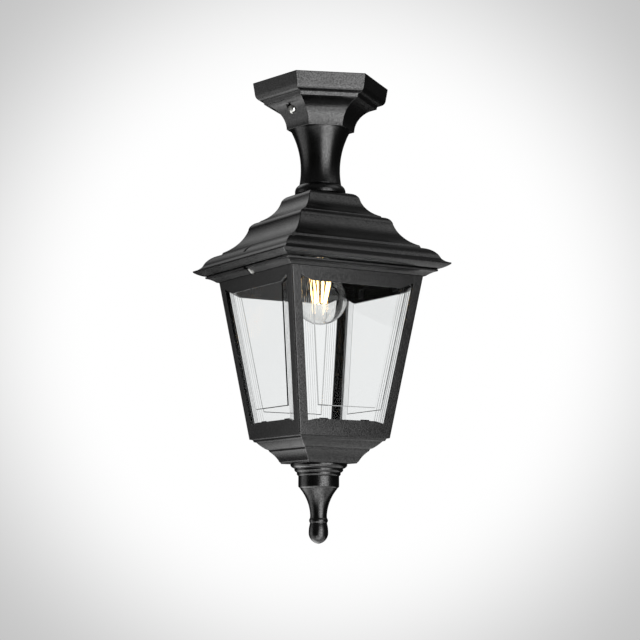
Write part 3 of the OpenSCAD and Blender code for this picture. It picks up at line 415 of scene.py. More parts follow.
def through_tree(piece, name, maker, **values):
    """Runs a piece through a Geometry Nodes tree, made once, whose inputs are set by identifier."""
    tree = bpy.data.node_groups.get(name) or maker(name)
    modifier = piece.modifiers.new(name, "NODES")
    modifier.node_group = tree
    keys = {s.name: s.identifier for s in tree.interface.items_tree if s.in_out == "INPUT"}
    for label, value in values.items():
        modifier[keys[label.replace("_", " ")]] = value
    return plain(piece)


def moulding(name, outline, sides, turn=0.0):
    """A casting whose closed outline runs round a square or hexagonal plan."""
    z, _ = measures()
    points = [(x, 0, y) for x, y in eased(outline, z["ease"])]
    piece = mesh_object(name, points, edges=[(i, (i + 1) % len(points)) for i in range(len(points))])
    through_tree(piece, "Cast moulding", moulding_tree, Sides=sides, Turn=math.radians(turn),
                 Arris=z["arris"] * MM, Arris_Steps=4, Material=material_for("cast_black"))
    return outward(piece)


def turning(name, outline, steps, closed=True):
    """A turned piece from an outline of radius and level. Points on the axis become poles."""
    points, rows = [], []
    for radius, level in outline:
        if radius < GUARD:
            rows.append([len(points)])
            points.append((0, 0, level))
            continue
        rows.append(range(len(points), len(points) + steps))
        points += [
            (radius * math.cos(math.tau * k / steps), radius * math.sin(math.tau * k / steps), level)
            for k in range(steps)
        ]
    faces = []
    count = len(rows)
    for i in range(count if closed else count - 1):
        a, b = rows[i], rows[(i + 1) % count]
        for k in range(steps):
            n = (k + 1) % steps
            if len(a) > 1 and len(b) > 1:
                faces.append((a[k], a[n], b[n], b[k]))
            elif len(a) > 1:
                faces.append((a[k], a[n], b[0]))
            elif len(b) > 1:
                faces.append((a[0], b[n], b[k]))
    return outward(mesh_object(name, points, faces))


def rod(name, radius, foot, top, steps):
    """A plain round rod along Z."""
    return turning(name, [(0, foot), (radius, foot), (radius, top), (0, top)], steps, closed=False)


def slab(name, low, high):
    """A plain block between two corners."""
    spots = [(x, y, z) for z in (low[2], high[2]) for y in (low[1], high[1]) for x in (low[0], high[0])]
    return mesh_object(name, spots, BLOCK)


def cut(piece, *cutters):
    """Takes each cutter out of a piece."""
    for cutter in cutters:
        modifier = piece.modifiers.new("Cut", "BOOLEAN")
        modifier.operation = "DIFFERENCE"
        modifier.solver = "EXACT"
        modifier.object = cutter
        plain(piece)
        bpy.data.objects.remove(cutter)
    return piece


def joined(name, *pieces):
    """One object from several, each a closed shell."""
    work = bmesh.new()
    for piece in pieces:
        work.from_mesh(piece.data)
        bpy.data.objects.remove(piece)
    mesh = bpy.data.meshes.new(name)
    work.to_mesh(mesh)
    work.free()
    return linked(name, mesh)


def finish(piece, body, node, slot):
    """Gives a finished piece the material of its slot and its body, and hides the CAD node it stands for."""
    piece.data.materials.clear()
    piece.data.materials.append(material_for(slot))
    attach(piece, body)
    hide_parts(node)


def softened(node, body, slot, bevel):
    """A merged and bevelled copy of a CAD node, in its place."""
    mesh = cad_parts[node].data.copy()
    worked(mesh,
           lambda work: bmesh.ops.remove_doubles(work, verts=work.verts, dist=2 * MERGE),
           lambda work: bmesh.ops.dissolve_limit(
               work, angle_limit=math.radians(0.5), verts=work.verts, edges=work.edges))
    mesh.materials.clear()
    finish(smoothed(linked(node + "_finished", mesh), bevel, 40), body, node, slot)


def screw_item(name, head, height, shank, reach):
    """A slotted pan-head screw along +Z whose head seats at the origin."""
    half, half_shank, chamfer = head / 2, shank / 2, 0.3
    side_top, crown = (half, 0.35 * height), (0.5 * half, height)
    profile = [(0, -reach), (half_shank - chamfer, -reach), (half_shank, 0.4 - reach), (half_shank, 0)]
    profile += [(half, 0), side_top] + arc(side_top, crown, 60, 8) + [(0, height)]
    piece = turning(name, eased(profile, 0.15), 40, closed=False)
    half_slot, slot_foot = 0.05 * head, 0.58 * height
    cut(piece, slab("slot", (-head, -half_slot, slot_foot), (head, half_slot, height + 1)))
    return smoothed(piece)


def set_of(name, item, places, slot, spin=0.0, seed=1):
    """Copies of an item on places, each a point and the rotation that lays the item there."""
    piece = mesh_object(name, [spot for spot, _ in places])
    lay = piece.data.attributes.new("lay", "QUATERNION", "POINT")
    for i, (_, rotation) in enumerate(places):
        lay.data[i].value = rotation
    through_tree(piece, "Set of fasteners", fastener_tree, Item=item, Spin=spin, Seed=seed,
                 Material=material_for(slot))
    bpy.data.objects.remove(item)
    return piece


def pointing(aim):
    """The rotation that turns +Z to a direction the short way."""
    return UP.rotation_difference(aim)


# ------------------------------------------------------------------ materials


# The length in metres of one band of a Wave texture at a scale of 1
WAVE = math.tau / 20


def material_tree(name):
    """A material with nothing in its tree but the object's coordinates. Returns it, its tree and
    those."""
    material = bpy.data.materials.new(name)
    material.use_nodes = True
    tree = material.node_tree
    tree.nodes.clear()
    return material, tree, add(tree, "ShaderNodeTexCoord").outputs["Object"]


def cover(tree, **inputs):
    """Ends a material with its surface."""
    named = {name.replace("_", " "): value for name, value in inputs.items()}
    add(tree, "ShaderNodeOutputMaterial", [add(tree, "ShaderNodeBsdfPrincipled", named)])


def mottled(name, width, detail, tones, roughness, **inputs):
    """A material whose tone drifts over a width in millimetres, and its roughness with it where
    that is a range."""
    material, tree, place = material_tree(name)
    drift = add(tree, "ShaderNodeTexNoise", {"Vector": place, "Scale": 1 / (width * MM), "Detail": detail})
    tone = add(tree, "ShaderNodeMix", [drift, *tones], data_type="RGBA")
    if isinstance(roughness, tuple):
        roughness = add(tree, "ShaderNodeMapRange", [drift, 0.3, 0.7, *roughness])
    cover(tree, Base_Color=tone, Roughness=roughness, **inputs)
    return material


def shades(base, darker, lighter):
    """Two tones of a linear colour."""
    return [tuple(min(1, c * share) for c in tuple(base)[:3]) + (1,) for share in (darker, lighter)]


def between(*hex_colours):
    """Two tones from their sRGB hex values."""
    return [linear(hex_colour) for hex_colour in hex_colours]


def let_light_through(material):
    """Glass that doesn't shade what the lamps light behind it."""
    tree = material.node_tree
    path = add(tree, "ShaderNodeLightPath").outputs["Is Shadow Ray"]
    clear = add(tree, "ShaderNodeBsdfTransparent", {"Color": linear("#a0a0a0")})
    both = add(tree, "ShaderNodeMixShader", [path, tree.nodes["Principled BSDF"], clear])
    tree.links.new(both.outputs[0], tree.nodes["Material Output"].inputs["Surface"])
    return material


def make_materials():
    """All the lantern's finishes, by record slot."""
    z, _ = measures()
    colours, studio = bpy.context.scene.lantern_colours, bpy.context.scene.lantern_studio
    made = {}

    # Cast aluminium under a satin polyester powder coat, which cures with a fine orange peel:
    # soft broken highlights on a near-black ground, with faint cloudiness between thick and thin coat.
    material, tree, place = material_tree("Powder-coated cast aluminium")
    cloud = add(tree, "ShaderNodeTexNoise", {"Vector": place, "Scale": 1 / (22 * MM), "Detail": 3})
    peel = add(tree, "ShaderNodeTexNoise", {"Vector": place, "Scale": 1 / (z["grain"] * MM), "Detail": 2})
    tone = add(tree, "ShaderNodeMix", [cloud, *shades(colours.powder, 0.75, 1.3)], data_type="RGBA")
    cover(tree, Base_Color=tone,
          Roughness=add(tree, "ShaderNodeMapRange", [cloud, 0.3, 0.7, 0.21, 0.27]),
          Specular_IOR_Level=add(tree, "ShaderNodeMapRange", [peel, 0.3, 0.7, 0.26, 0.76]),
          Normal=add(tree, "ShaderNodeBump", {"Height": peel, "Strength": 0.4, "Distance": 0.0002}))
    made["cast_black"] = material

    # Stainless steel, machine-turned and polished: crisp bright heads with fine turning marks.
    made["stainless"] = mottled(
        "Stainless steel, turned and polished", 0.4, 2, shades(colours.steel, 0.85, 1.1), (0.24, 0.38),
        Metallic=1.0)

    # Zinc-plated steel: bluish grey with the faint spangle of the passivated plate.
    made["zinc_steel"] = mottled(
        "Zinc-plated steel", 1.6, 3, shades(colours.zinc, 0.75, 1.1), (0.28, 0.45), Metallic=1.0)

    # Spring steel under black oxide: a dull blue-black that hides the clips behind the rails.
    made["black_oxide_steel"] = mottled(
        "Spring steel, black oxide", 1.2, 2, shades(linear("#26272a"), 0.7, 1.3), (0.35, 0.5), Metallic=0.6)

    # Brass, turned: warm yellow with slight tarnish in the lows.
    made["brass"] = mottled(
        "Turned brass", 2.2, 3, shades(colours.brass, 0.7, 1.08), (0.2, 0.36), Metallic=1.0)

    # Nickel-plated brass of the lamp cap: rolled thread, silvery with dull valleys.
    made["lamp_cap_nickel"] = mottled(
        "Nickel-plated brass", 1.5, 3, between("#a5a39e", "#cbc9c4"), (0.18, 0.35), Metallic=1.0)

    # Nylon, injection moulded: milky ivory that lets a little light in.
    made["terminal_nylon"] = mottled(
        "Moulded nylon", 3, 2, shades(linear("#ddd8ca"), 0.93, 1.03), 0.42,
        Subsurface_Weight=0.15, Subsurface_Scale=0.002)

    # Phenolic, compression moulded: deep glossy black with a faint flow pattern.
    made["phenolic"] = mottled("Moulded phenolic", 6, 4, between("#0e0d0d", "#191716"), (0.2, 0.32))

    # Porcelain, glazed and fired: warm white under a clear glossy glaze.
    made["porcelain"] = mottled(
        "Glazed porcelain", 5, 2, between("#e6e0d4", "#f3efe6"), 0.35, Coat_Weight=0.7, Coat_Roughness=0.08)

    # PVC insulation, extruded: three plain colours with a slight sheen, the earth lead striped.
    for slot, first, second in (
            ("lead_brown", "#6b3b20", "#754226"), ("lead_blue", "#1f5fae", "#2467b8"),
            ("lead_green_yellow", "#2f8a3a", "#e3c92c")):
        material, tree, place = material_tree("Extruded PVC, " + slot[5:].replace("_", " and "))
        stripes = add(tree, "ShaderNodeTexWave", {
            "Vector": place, "Scale": WAVE / (3.49 * MM), "Distortion": 0.4}).outputs["Fac"]
        parted = add(tree, "ShaderNodeMapRange", [stripes, 0.45, 0.55])
        tone = add(tree, "ShaderNodeMix", [parted, *between(first, second)], data_type="RGBA")
        cover(tree, Base_Color=tone, Roughness=0.38)
        made[slot] = material

    # Float glass with a ground and polished bevel: clear, faintly grey-green along its depth. The
    # tint dims its mirror image of the lamps, so that it reads as clear from every side.
    made["pane_glass"] = let_light_through(mottled(
        "Float glass, polished bevel", 60, 1, shades(colours.pane, 0.99, 1.0), 0.0,
        Transmission_Weight=1.0, IOR=1.52, Specular_Tint=linear("#303030")))

    # Blown soda glass of the lamp: thin, clear, with slight waves from the mould.
    material, tree, place = material_tree("Blown soda glass")
    wave = add(tree, "ShaderNodeTexNoise", {"Vector": place, "Scale": 1 / (30 * MM), "Detail": 1})
    ripple = add(tree, "ShaderNodeBump", {"Height": wave, "Strength": 0.02, "Distance": 0.001})
    cover(tree, Base_Color=linear("#fbfbfa"), Transmission_Weight=1.0, Roughness=0.0, IOR=1.5, Normal=ripple)
    made["lamp_glass"] = let_light_through(material)

    # LED filament, phosphor in silicone, lit: warm white strips, deeper between the chips.
    material, tree, place = material_tree("Phosphor-coated filament, lit")
    chips = add(tree, "ShaderNodeTexWave", {"Vector": place, "Scale": WAVE / (2.856 * MM)},
                bands_direction="Z")
    glow = tuple(colours.glow)
    tone = add(tree, "ShaderNodeMix", [chips.outputs["Fac"], glow, linear("#ffd9a0")], data_type="RGBA")
    cover(tree, Base_Color=tone, Emission_Color=glow, Emission_Strength=studio.filament, Roughness=0.5)
    made["filament"] = material
    return made


MATERIALS = {}


def material_for(slot):
    if not MATERIALS:
        MATERIALS.update(make_materials())
    return MATERIALS[slot]


# ------------------------------------------------------------------ pieces


WALL = 3.5
CANOPY_TURN = 9.0
STEM_HOLE = 5.2
SCREW_DROP = 30.0
SCREW_SEAT = 37.5
CORNICE_HALF = 88.2
CORNICE_OPENING = 70.0
FRAME_THICK = 6.0
FRAME_WEB = 3.0
SLIT = 5.0
HINGE = (92.0, -199.7)
KNUCKLE_RADIUS = 3.2
STRAND_TURN = 16.0
SIDES = ("front", "right", "back", "left")


def turned_to(side):
    """The turn from the front to a side."""
    return Matrix.Rotation(side * math.pi / 2, 4, "Z")


def canopy_screw_places():
    """Where the two canopy screws seat, and the way each one points."""
    aims = [Matrix.Rotation(math.radians(CANOPY_TURN + side), 3, "Z") @ Vector((1, 0, 0))
            for side in (0, 180)]
    return [(SCREW_SEAT * aim - SCREW_DROP * UP, aim) for aim in aims]


class LANTERN_OT_canopy(bpy.types.Operator):
    """Casts the hexagonal canopy with its rim band, fillet and cove"""
    bl_idname = "lantern.canopy"
    bl_label = "Canopy"

    def execute(self, context):
        z, _ = measures()
        steps = z["curve_steps"]
        half, foot, height = z["canopy_flats"] / 2, 31.0, z["canopy_height"]
        rim_foot, under = (half - 2, -13), (half - 8, -18.6)
        cove_top = (half - 11.6, -22.6)
        outline = [(half, 0), rim_foot] + arc(rim_foot, under, -76, steps)
        outline += [(under[0] - 1.6, under[1]), (cove_top[0] + 1.2, cove_top[1] + 0.2), cove_top]
        outline += arc(cove_top, (foot, -height), 73, 2 * steps)
        floor = 3.15
        inside = [(x, y) for x, y in moved(outline, -WALL, floor) if y < 0]
        loop = outline + [(STEM_HOLE, -height), (STEM_HOLE, floor - height)] + inside[::-1] + [(half - 4, 0)]
        piece = moulding("canopy_casting", loop, 6, CANOPY_TURN)
        recesses = []
        for spot, aim in canopy_screw_places():
            recess = rod("recess", 5.6, 0, 40, 48)
            turn = aim.to_track_quat("Z", "Y").to_matrix().to_4x4()
            recess.data.transform(Matrix.Translation(MM * spot) @ turn)
            recesses.append(recess)
        cut(piece, *recesses)
        finish(smoothed(piece), "root", "canopy", "cast_black")
        return {"FINISHED"}


class LANTERN_OT_canopy_screws(bpy.types.Operator):
    """Drives the two slotted pan-head screws into the canopy"""
    bl_idname = "lantern.canopy_screws"
    bl_label = "Canopy screws"

    def execute(self, context):
        places = [(spot, pointing(aim)) for spot, aim in canopy_screw_places()]
        item = screw_item("pan_screw", head=9.6, height=3.4, shank=5.0, reach=12.0)
        finish(set_of("canopy_screw_pair", item, places, "stainless"), "root", "canopy_screws", "stainless")
        return {"FINISHED"}


class LANTERN_OT_neck(bpy.types.Operator):
    """Turns the neck and the collar bead at its foot"""
    bl_idname = "lantern.neck"
    bl_label = "Neck"

    def execute(self, context):
        z, at = measures()
        steps, round_steps = z["curve_steps"], z["turn_steps"]
        top, foot = (31.0, at["canopy_foot"]), (21.9, at["collar_top"])
        outside = [top] + arc(top, foot, 39, 3 * steps)
        inside = moved(outside, -3, 0)[::-1]
        neck = turning("neck_turning", eased(outside + inside, 0.3), round_steps)
        finish(smoothed(neck), "root", "neck", "cast_black")
        bore, bead, high, low = 16, 26.3, at["collar_top"], at["roof_top"]
        nose_top = (22.8, high - 0.6)
        loop = [(bore, high), (21.2, high), (21.2, high - 0.6), nose_top]
        loop += arc(nose_top, (bead, low + 2.2), -60, steps) + [(bead, low), (bore, low)]
        collar = turning("neck_collar_bead", eased(loop, z["ease"]), round_steps)
        finish(smoothed(collar), "root", "neck_collar", "cast_black")
        return {"FINISHED"}


def hinge_lug(name, width, block, y=0):
    """A lug or knuckle along Y: a round end on the hinge's line with a block behind it."""
    x0, z0, x1, z1 = block
    ring = [(KNUCKLE_RADIUS * math.cos(math.tau * k / 32), KNUCKLE_RADIUS * math.sin(math.tau * k / 32))
            for k in range(32)]
    parts = []
    for outline in (ring, [(x0, z0), (x1, z0), (x1, z1), (x0, z1)]):
        count = len(outline)
        points = [(HINGE[0] + x, y + end * width / 2, HINGE[1] + z) for end in (-1, 1) for x, z in outline]
        faces = [tuple(range(count)), tuple(range(2 * count - 1, count - 1, -1))]
        faces += [(i, i + count, (i + 1) % count + count, (i + 1) % count) for i in range(count)]
        parts.append(outward(mesh_object(name, points, faces)))
    return parts


def slit_relief(foot):
    """A cutter that widens the roof's slit behind its rim, where the catch swings."""
    half, swing, deep = SLIT / 2 - 0.05, 22, 8
    spots = [(depth - rim, y, foot + height) for height, rim in ((0.2, 88.2), (7.4, 78.2))
             for depth, reach in ((0, 0), (deep, swing)) for y in (-half, half + reach)]
    return outward(mesh_object("relief", spots, BLOCK))


class LANTERN_OT_roof(bpy.types.Operator):
    """Casts the three-tier roof with its eave lip, catch slit and hinge lugs"""
    bl_idname = "lantern.roof"
    bl_label = "Roof"

    def execute(self, context):
        z, at = measures()
        steps = z["curve_steps"]
        top, shoulder = (22.5, at["roof_top"]), (30.3, at["tier1_top"])
        tier1, tier2 = (45.8, at["tier1_foot"]), (73.4, at["tier2_foot"])
        nose2, nose2_foot = (47.4, at["tier2_top"]), (55.0, at["tier2_nose"])
        nose3, nose3_foot = (77.2, at["tier3_top"]), (90.2, at["tier3_foot"])
        shell = [top] + arc(top, shoulder, -75, steps) + arc(shoulder, tier1, 52, steps)
        shell += [(46.4, at["tier2_top"] + 0.2), nose2] + arc(nose2, nose2_foot, -80, steps)
        shell += arc(nose2_foot, tier2, 47, steps)
        shell += [(74.4, at["tier2_foot"] - 0.4), (75.6, at["tier3_step"]), nose3]
        shell += arc(nose3, nose3_foot, -60, steps)
        eave, seat = 97.8, 86.7
        lip, lip_foot = (eave, at["lip_top"]), (eave, at["lip_foot"])
        eave_foot = (CORNICE_HALF + 0.4, at["roof_foot"])
        outline = shell + arc(nose3_foot, lip, 45, steps) + [lip_foot] + arc(lip_foot, eave_foot, -25, steps)
        inside = moved(shell, -WALL, -WALL)
        loop = outline + [(seat, at["roof_foot"])] + inside[::-1]
        loop += [(STEM_HOLE, at["roof_top"] - WALL), (STEM_HOLE, at["roof_top"])]
        piece = moulding("roof_shell", loop, 4)
        slit_foot, slit_height = at["tier3_foot"] + 3.6, 7.6
        slit = slab("slit", (-200, -SLIT / 2, slit_foot), (-1, SLIT / 2, slit_foot + slit_height))
        cut(piece, slit, slit_relief(slit_foot))
        lug_top = at["lip_top"] - HINGE[1] - 1
        lugs = [part for y in (-13.3, 13.3)
                for part in hinge_lug("lug", 8, (-KNUCKLE_RADIUS, 0, KNUCKLE_RADIUS, lug_top), y)]
        finish(smoothed(joined("roof_casting", piece, *lugs)), "root", "roof", "cast_black")
        return {"FINISHED"}


class LANTERN_OT_cornice(bpy.types.Operator):
    """Casts the square cornice that carries the cage, with its slit, knuckle and screws"""
    bl_idname = "lantern.cornice"
    bl_label = "Cornice"

    def execute(self, context):
        z, at = measures()
        top, foot, half = at["cornice_top"], at["frame_top"], z["frame_top"]
        cove, cove_foot = (CORNICE_HALF - 2, top - 2.2), (half + 2.4, foot + 0.6)
        loop = [(CORNICE_HALF, top), (CORNICE_HALF - 0.4, top - 1.9), cove]
        loop += arc(cove, cove_foot, 20, z["curve_steps"])
        loop += [(half + 1.6, foot), (CORNICE_OPENING, foot), (CORNICE_OPENING, top)]
        piece = moulding("cornice_ring", loop, 4)
        cut(piece, slab("slit", (-200, -SLIT / 2, foot - 1), (2 - half, SLIT / 2, top + 1)))
        knuckle = hinge_lug("knuckle", 18, (-6.2, -KNUCKLE_RADIUS, 0, top - HINGE[1]))
        finish(smoothed(joined("cornice_casting", piece, *knuckle)), "cage", "cornice", "cast_black")
        across, rail = CORNICE_OPENING - 14, half - FRAME_THICK / 2
        places = [(turned_to(side) @ Vector((x, -rail, top - 1.5)), pointing(UP))
                  for side in range(4) for x in (-across, across)]
        item = screw_item("cornice_screw", head=5.6, height=1.5, shank=3.0, reach=9.5)
        screws = set_of("cornice_screw_set", item, places, "zinc_steel", spin=math.pi, seed=4)
        finish(screws, "cage", "cornice_screws", "zinc_steel")
        return {"FINISHED"}


# The side frames' rails and stiles, and the ears of their openings: how far an ear rises into a
# rail, and how far it runs along it
STILE = 10.5
TOP_RAIL, TOP_RISE, TOP_RUN = 14.5, 6.1, 14.0
FOOT_RAIL, FOOT_RISE, FOOT_RUN = 16.3, 2.5, 10.7
# The panes' border under the stiles, and under the rails past the ears
LAND, LAP = 3.5, 2.5


def leaning(z):
    """The lean of the side frames, and their height along it."""
    lean = math.atan((z["frame_top"] - z["frame_foot"]) / z["frame_height"])
    return lean, z["frame_height"] / math.cos(lean)


def side_matrix(side):
    """From a side's own axes (along, up the slope, outwards) to the lantern's."""
    z, at = measures()
    lean, _ = leaning(z)
    return (turned_to(side) @ Matrix.Translation((0, -z["frame_top"], at["frame_top"]))
            @ Matrix.Rotation(math.pi / 2 + lean, 4, "X"))


def side_shape():
    """Right half of the eared opening's outline and of the pane's, in a side's own axes."""
    z, _ = measures()
    lean, slope = leaning(z)
    top, foot = TOP_RAIL - TOP_RISE, slope - FOOT_RAIL + FOOT_RISE
    ear_top, ear_foot, pane_top, pane_foot = (
        z["frame_top"] - down * math.sin(lean) - STILE for down in (top, foot, top - LAP, foot + LAP))
    opening = [(ear_top - TOP_RUN, -TOP_RAIL), (ear_top, -top), (ear_foot, -foot),
               (ear_foot - FOOT_RUN, FOOT_RAIL - slope)]
    return opening, [(pane_top + LAND, LAP - top), (pane_foot + LAND, -foot - LAP)]


def both_ways(half):
    """A whole outline from its right half."""
    return list(half) + [(-x, y) for x, y in reversed(half)]


def numbered(rings):
    """The numbers of each ring's points in a mesh that takes the rings in order."""
    numbers, first = [], 0
    for ring in rings:
        numbers.append(range(first, first + len(ring)))
        first += len(ring)
    return numbers


def around_faces(a, b):
    """Faces between two rings of as many points."""
    count = len(a)
    return [(a[i], a[(i + 1) % count], b[(i + 1) % count], b[i]) for i in range(count)]


def eared_faces(outer, inner):
    """Faces between a frame's four corners, from the right top down, and its eared opening."""
    return [
        (outer[0], outer[1], inner[2], inner[1]),
        (outer[1], outer[2], inner[5], inner[4], inner[3], inner[2]),
        (outer[2], outer[3], inner[6], inner[5]),
        (outer[3], outer[0], inner[1], inner[0], inner[7], inner[6]),
    ]


# How far the rim of a frame's face, its pillowed edge and the chamfer of its mitre stand in from
# the cage's corner, along the side and square to it
RIM_INSETS = ((1.9, 0.0), (1.15, 0.16), (0.82, 0.55))
MITRE_GAP = 0.15
POCKET_GAP = 0.1


class LANTERN_OT_side_frames(bpy.types.Operator):
    """Casts the four leaning side frames with their eared openings"""
    bl_idname = "lantern.side_frames"
    bl_label = "Side frames"

    def execute(self, context):
        z, at = measures()
        lean, _ = leaning(z)
        opening, (pane_top, pane_foot) = side_shape()
        hole = both_ways(opening)
        pocket = both_ways([(pane_top[0] + POCKET_GAP, pane_top[1] + POCKET_GAP),
                            (pane_foot[0] + POCKET_GAP, pane_foot[1] - POCKET_GAP)])
        ends = [(z["frame_top"], at["frame_top"]), (z["frame_foot"], at["frame_foot"])]
        corners = [(1, *end) for end in ends] + [(-1, *end) for end in reversed(ends)]
        depth = FRAME_THICK / math.cos(lean)
        insets = RIM_INSETS + ((depth + MITRE_GAP, depth),)
        lines = ((hole, 0), (hole, FRAME_WEB), (pocket, FRAME_WEB), (pocket, FRAME_THICK))
        rims = [[(way * (half - along), out - half, level) for way, half, level in corners]
                for along, out in insets]
        rings = [[(x, y, -deep) for x, y in line] for line, deep in lines]
        numbers = numbered(rims + rings)
        face, pillow, chamfer, back, front_hole, back_hole, deep_pocket, rear_pocket = numbers
        faces = eared_faces(face, front_hole) + eared_faces(deep_pocket, back_hole)
        faces += around_faces(front_hole, back_hole) + around_faces(deep_pocket, rear_pocket)
        faces += around_faces(rear_pocket, back)
        for i in (0, 2):
            faces += [(a[i], a[i + 1], b[i + 1], b[i]) for a, b in zip(numbers[:3], numbers[1:4])]
        for i, n in ((3, 0), (1, 2)):
            faces.append((face[i], face[n], pillow[n], chamfer[n], back[n], back[i], chamfer[i], pillow[i]))
        for side, name in enumerate(SIDES):
            points = [turned_to(side) @ Vector(p) for rim in rims for p in rim]
            points += [side_matrix(side) @ Vector(p) for ring in rings for p in ring]
            piece = outward(mesh_object("side_frame_" + name + "_casting", points, faces))
            finish(smoothed(piece, 0.35), "cage", "side_frame_" + name, "cast_black")
        return {"FINISHED"}


# The ground border of a pane carries fine ridges beside the stiles and ends in a riser to the
# raised middle: how far in beside the stiles, how far in along the rails, and how high
RIDGES = [
    (1.2 + 2.4 * i + rise, 0.6 * i - 3.9 + rise / 2, height)
    for i in range(5) for rise, height in ((0, 0.05), (0.2, 0.32), (0.4, 0.05))
]
RISER = [(13.1, 13.0, 0.1), (13.5, 13.4, 0.65), (14.0, 13.9, 1.2)]
TOP_RAIL_SHARE = 0.1


def inset_ring(corners, insets):
    """A convex outline with each side moved in by its own distance."""
    count = len(corners)
    centre = sum(corners, Vector((0, 0))) / count
    lines = []
    for i in range(count):
        p, q = corners[i], corners[(i + 1) % count]
        along = (q - p).normalized()
        normal = Vector((-along.y, along.x))
        if normal.dot(centre - p) < 0:
            normal = -normal
        lines.append((p + normal * insets[i], along))
    ring = []
    for i in range(count):
        (p, u), (q, v) = lines[i - 1], lines[i]
        cross = u.x * v.y - u.y * v.x
        t = ((q.x - p.x) * v.y - (q.y - p.y) * v.x) / cross
        ring.append(p + t * u)
    return ring


class LANTERN_OT_panes(bpy.types.Operator):
    """Grinds the four bevelled panes"""
    bl_idname = "lantern.panes"
    bl_label = "Panes"

    def execute(self, context):
        _, pane = side_shape()
        corners = [Vector(p) for p in both_ways(pane)]
        lands = (LAND, LAP + FOOT_RISE, LAND, LAP + TOP_RISE)
        rings = [(corners, -FRAME_THICK), (corners, -FRAME_WEB)]
        for beside, along, height in [(0, -4, 0)] + RIDGES + RISER:
            # The border stays narrow along the top rail
            offs = (beside, along, beside, min(along, TOP_RAIL_SHARE * along))
            insets = [land + off for land, off in zip(lands, offs)]
            rings.append((inset_ring(corners, insets), height - FRAME_WEB))
        levels = numbered([ring for ring, _ in rings])
        faces = [face for a, b in zip(levels, levels[1:]) for face in around_faces(a, b)]
        faces += [tuple(levels[0])[::-1], tuple(levels[-1])]
        for side, name in enumerate(SIDES):
            lay = side_matrix(side)
            points = [lay @ Vector((p.x, p.y, height)) for ring, height in rings for p in ring]
            finish(outward(mesh_object("pane_" + name, points, faces)), "cage", "glass_" + name, "pane_glass")
        return {"FINISHED"}


class LANTERN_OT_pane_clips(bpy.types.Operator):
    """Sets the spring clips that hold the panes, and their screws"""
    bl_idname = "lantern.pane_clips"
    bl_label = "Pane clips"

    def execute(self, context):
        _, (pane_top, pane_foot) = side_shape()
        half, heel, toe, thick = 5, 1.9, 8, 0.8
        screw_off = 2.3
        upside_down = Matrix.Rotation(math.pi, 4, "Z")
        clips, screws = [], []
        for side in range(4):
            lay = side_matrix(side)
            spots = [(x, pane_top[1] + screw_off, upside_down) for x in (-34, 34)]
            spots += [(x, pane_foot[1] - screw_off, Matrix()) for x in (-24, 24)]
            for x, y, turn in spots:
                clips.append((lay @ Vector((x, y, -FRAME_THICK)), (lay @ turn).to_quaternion()))
                screws.append((lay @ Vector((x, y, -FRAME_THICK - thick)), pointing(lay.to_3x3() @ -UP)))
        item = smoothed(outward(slab("clip", (-half, -heel, -thick), (half, toe, 0))), 0.2)
        set_clips = set_of("pane_clip_set", item, clips, "black_oxide_steel")
        finish(set_clips, "cage", "glass_clips", "black_oxide_steel")
        item = screw_item("clip_screw", head=4.2, height=1.2, shank=2.5, reach=3.0)
        heads = set_of("clip_screw_set", item, screws, "black_oxide_steel", spin=math.pi, seed=7)
        finish(heads, "cage", "clip_screws", "black_oxide_steel")
        return {"FINISHED"}


class LANTERN_OT_tray(bpy.types.Operator):
    """Casts the stepped tray with its lugs, drain hole and screws"""
    bl_idname = "lantern.tray"
    bl_label = "Tray"

    def execute(self, context):
        z, at = measures()
        steps = z["curve_steps"]
        half, top, foot = z["frame_foot"], at["frame_foot"], at["tray_foot"]
        slope_top, slope_foot = (half - 5.8, at["tray_slope_top"]), (40.0, at["tray_slope_foot"] + 0.7)
        hollow, hollow_foot = (37.3, at["tray_slope_foot"] - 2), (29.8, foot + 2)
        outline = [(half, top), (half - 2.8, top - 0.6), (half - 3.8, at["tray_slope_top"] + 0.6), slope_top]
        outline += arc(slope_top, slope_foot, -16, steps) + [(38.2, at["tray_slope_foot"]), hollow]
        outline += arc(hollow, hollow_foot, 26, steps) + [(29.0, foot + 1.2), (28.4, foot)]
        inside = [(x, y) for x, y in moved(outline, -4, 3) if y < top - 0.3]
        stud_hole, mouth = 3.2, 43.2
        loop = outline + [(stud_hole, foot), (stud_hole, foot + 3)] + inside[::-1] + [(mouth, top)]
        piece = moulding("tray_shell", loop, 4)
        drain = rod("drain", 2.5, foot - 1, foot + 5, 32)
        drain.data.transform(Matrix.Translation(17.04 * MM * Vector((1, 1, 0))))
        cut(piece, drain)
        lug_back, lug_face = -46.7, -43.7
        lugs, places = [], []
        for side in range(4):
            turn = turned_to(side)
            lug = slab("lug", (-8, lug_back, top - 3), (8, lug_face, top + 9))
            lug.data.transform(turn)
            lugs.append(lug)
            inwards = turn.to_3x3() @ Vector((0, 1, 0))
            places.append((turn @ Vector((0, lug_face, top + 5)), pointing(inwards)))
        finish(smoothed(joined("tray_casting", piece, *lugs)), "cage", "bottom_tray", "cast_black")
        item = screw_item("tray_screw", head=5.2, height=1.8, shank=3.0, reach=6.4)
        screws = set_of("tray_screw_set", item, places, "zinc_steel", spin=math.pi, seed=9)
        finish(screws, "cage", "tray_screws", "zinc_steel")
        return {"FINISHED"}


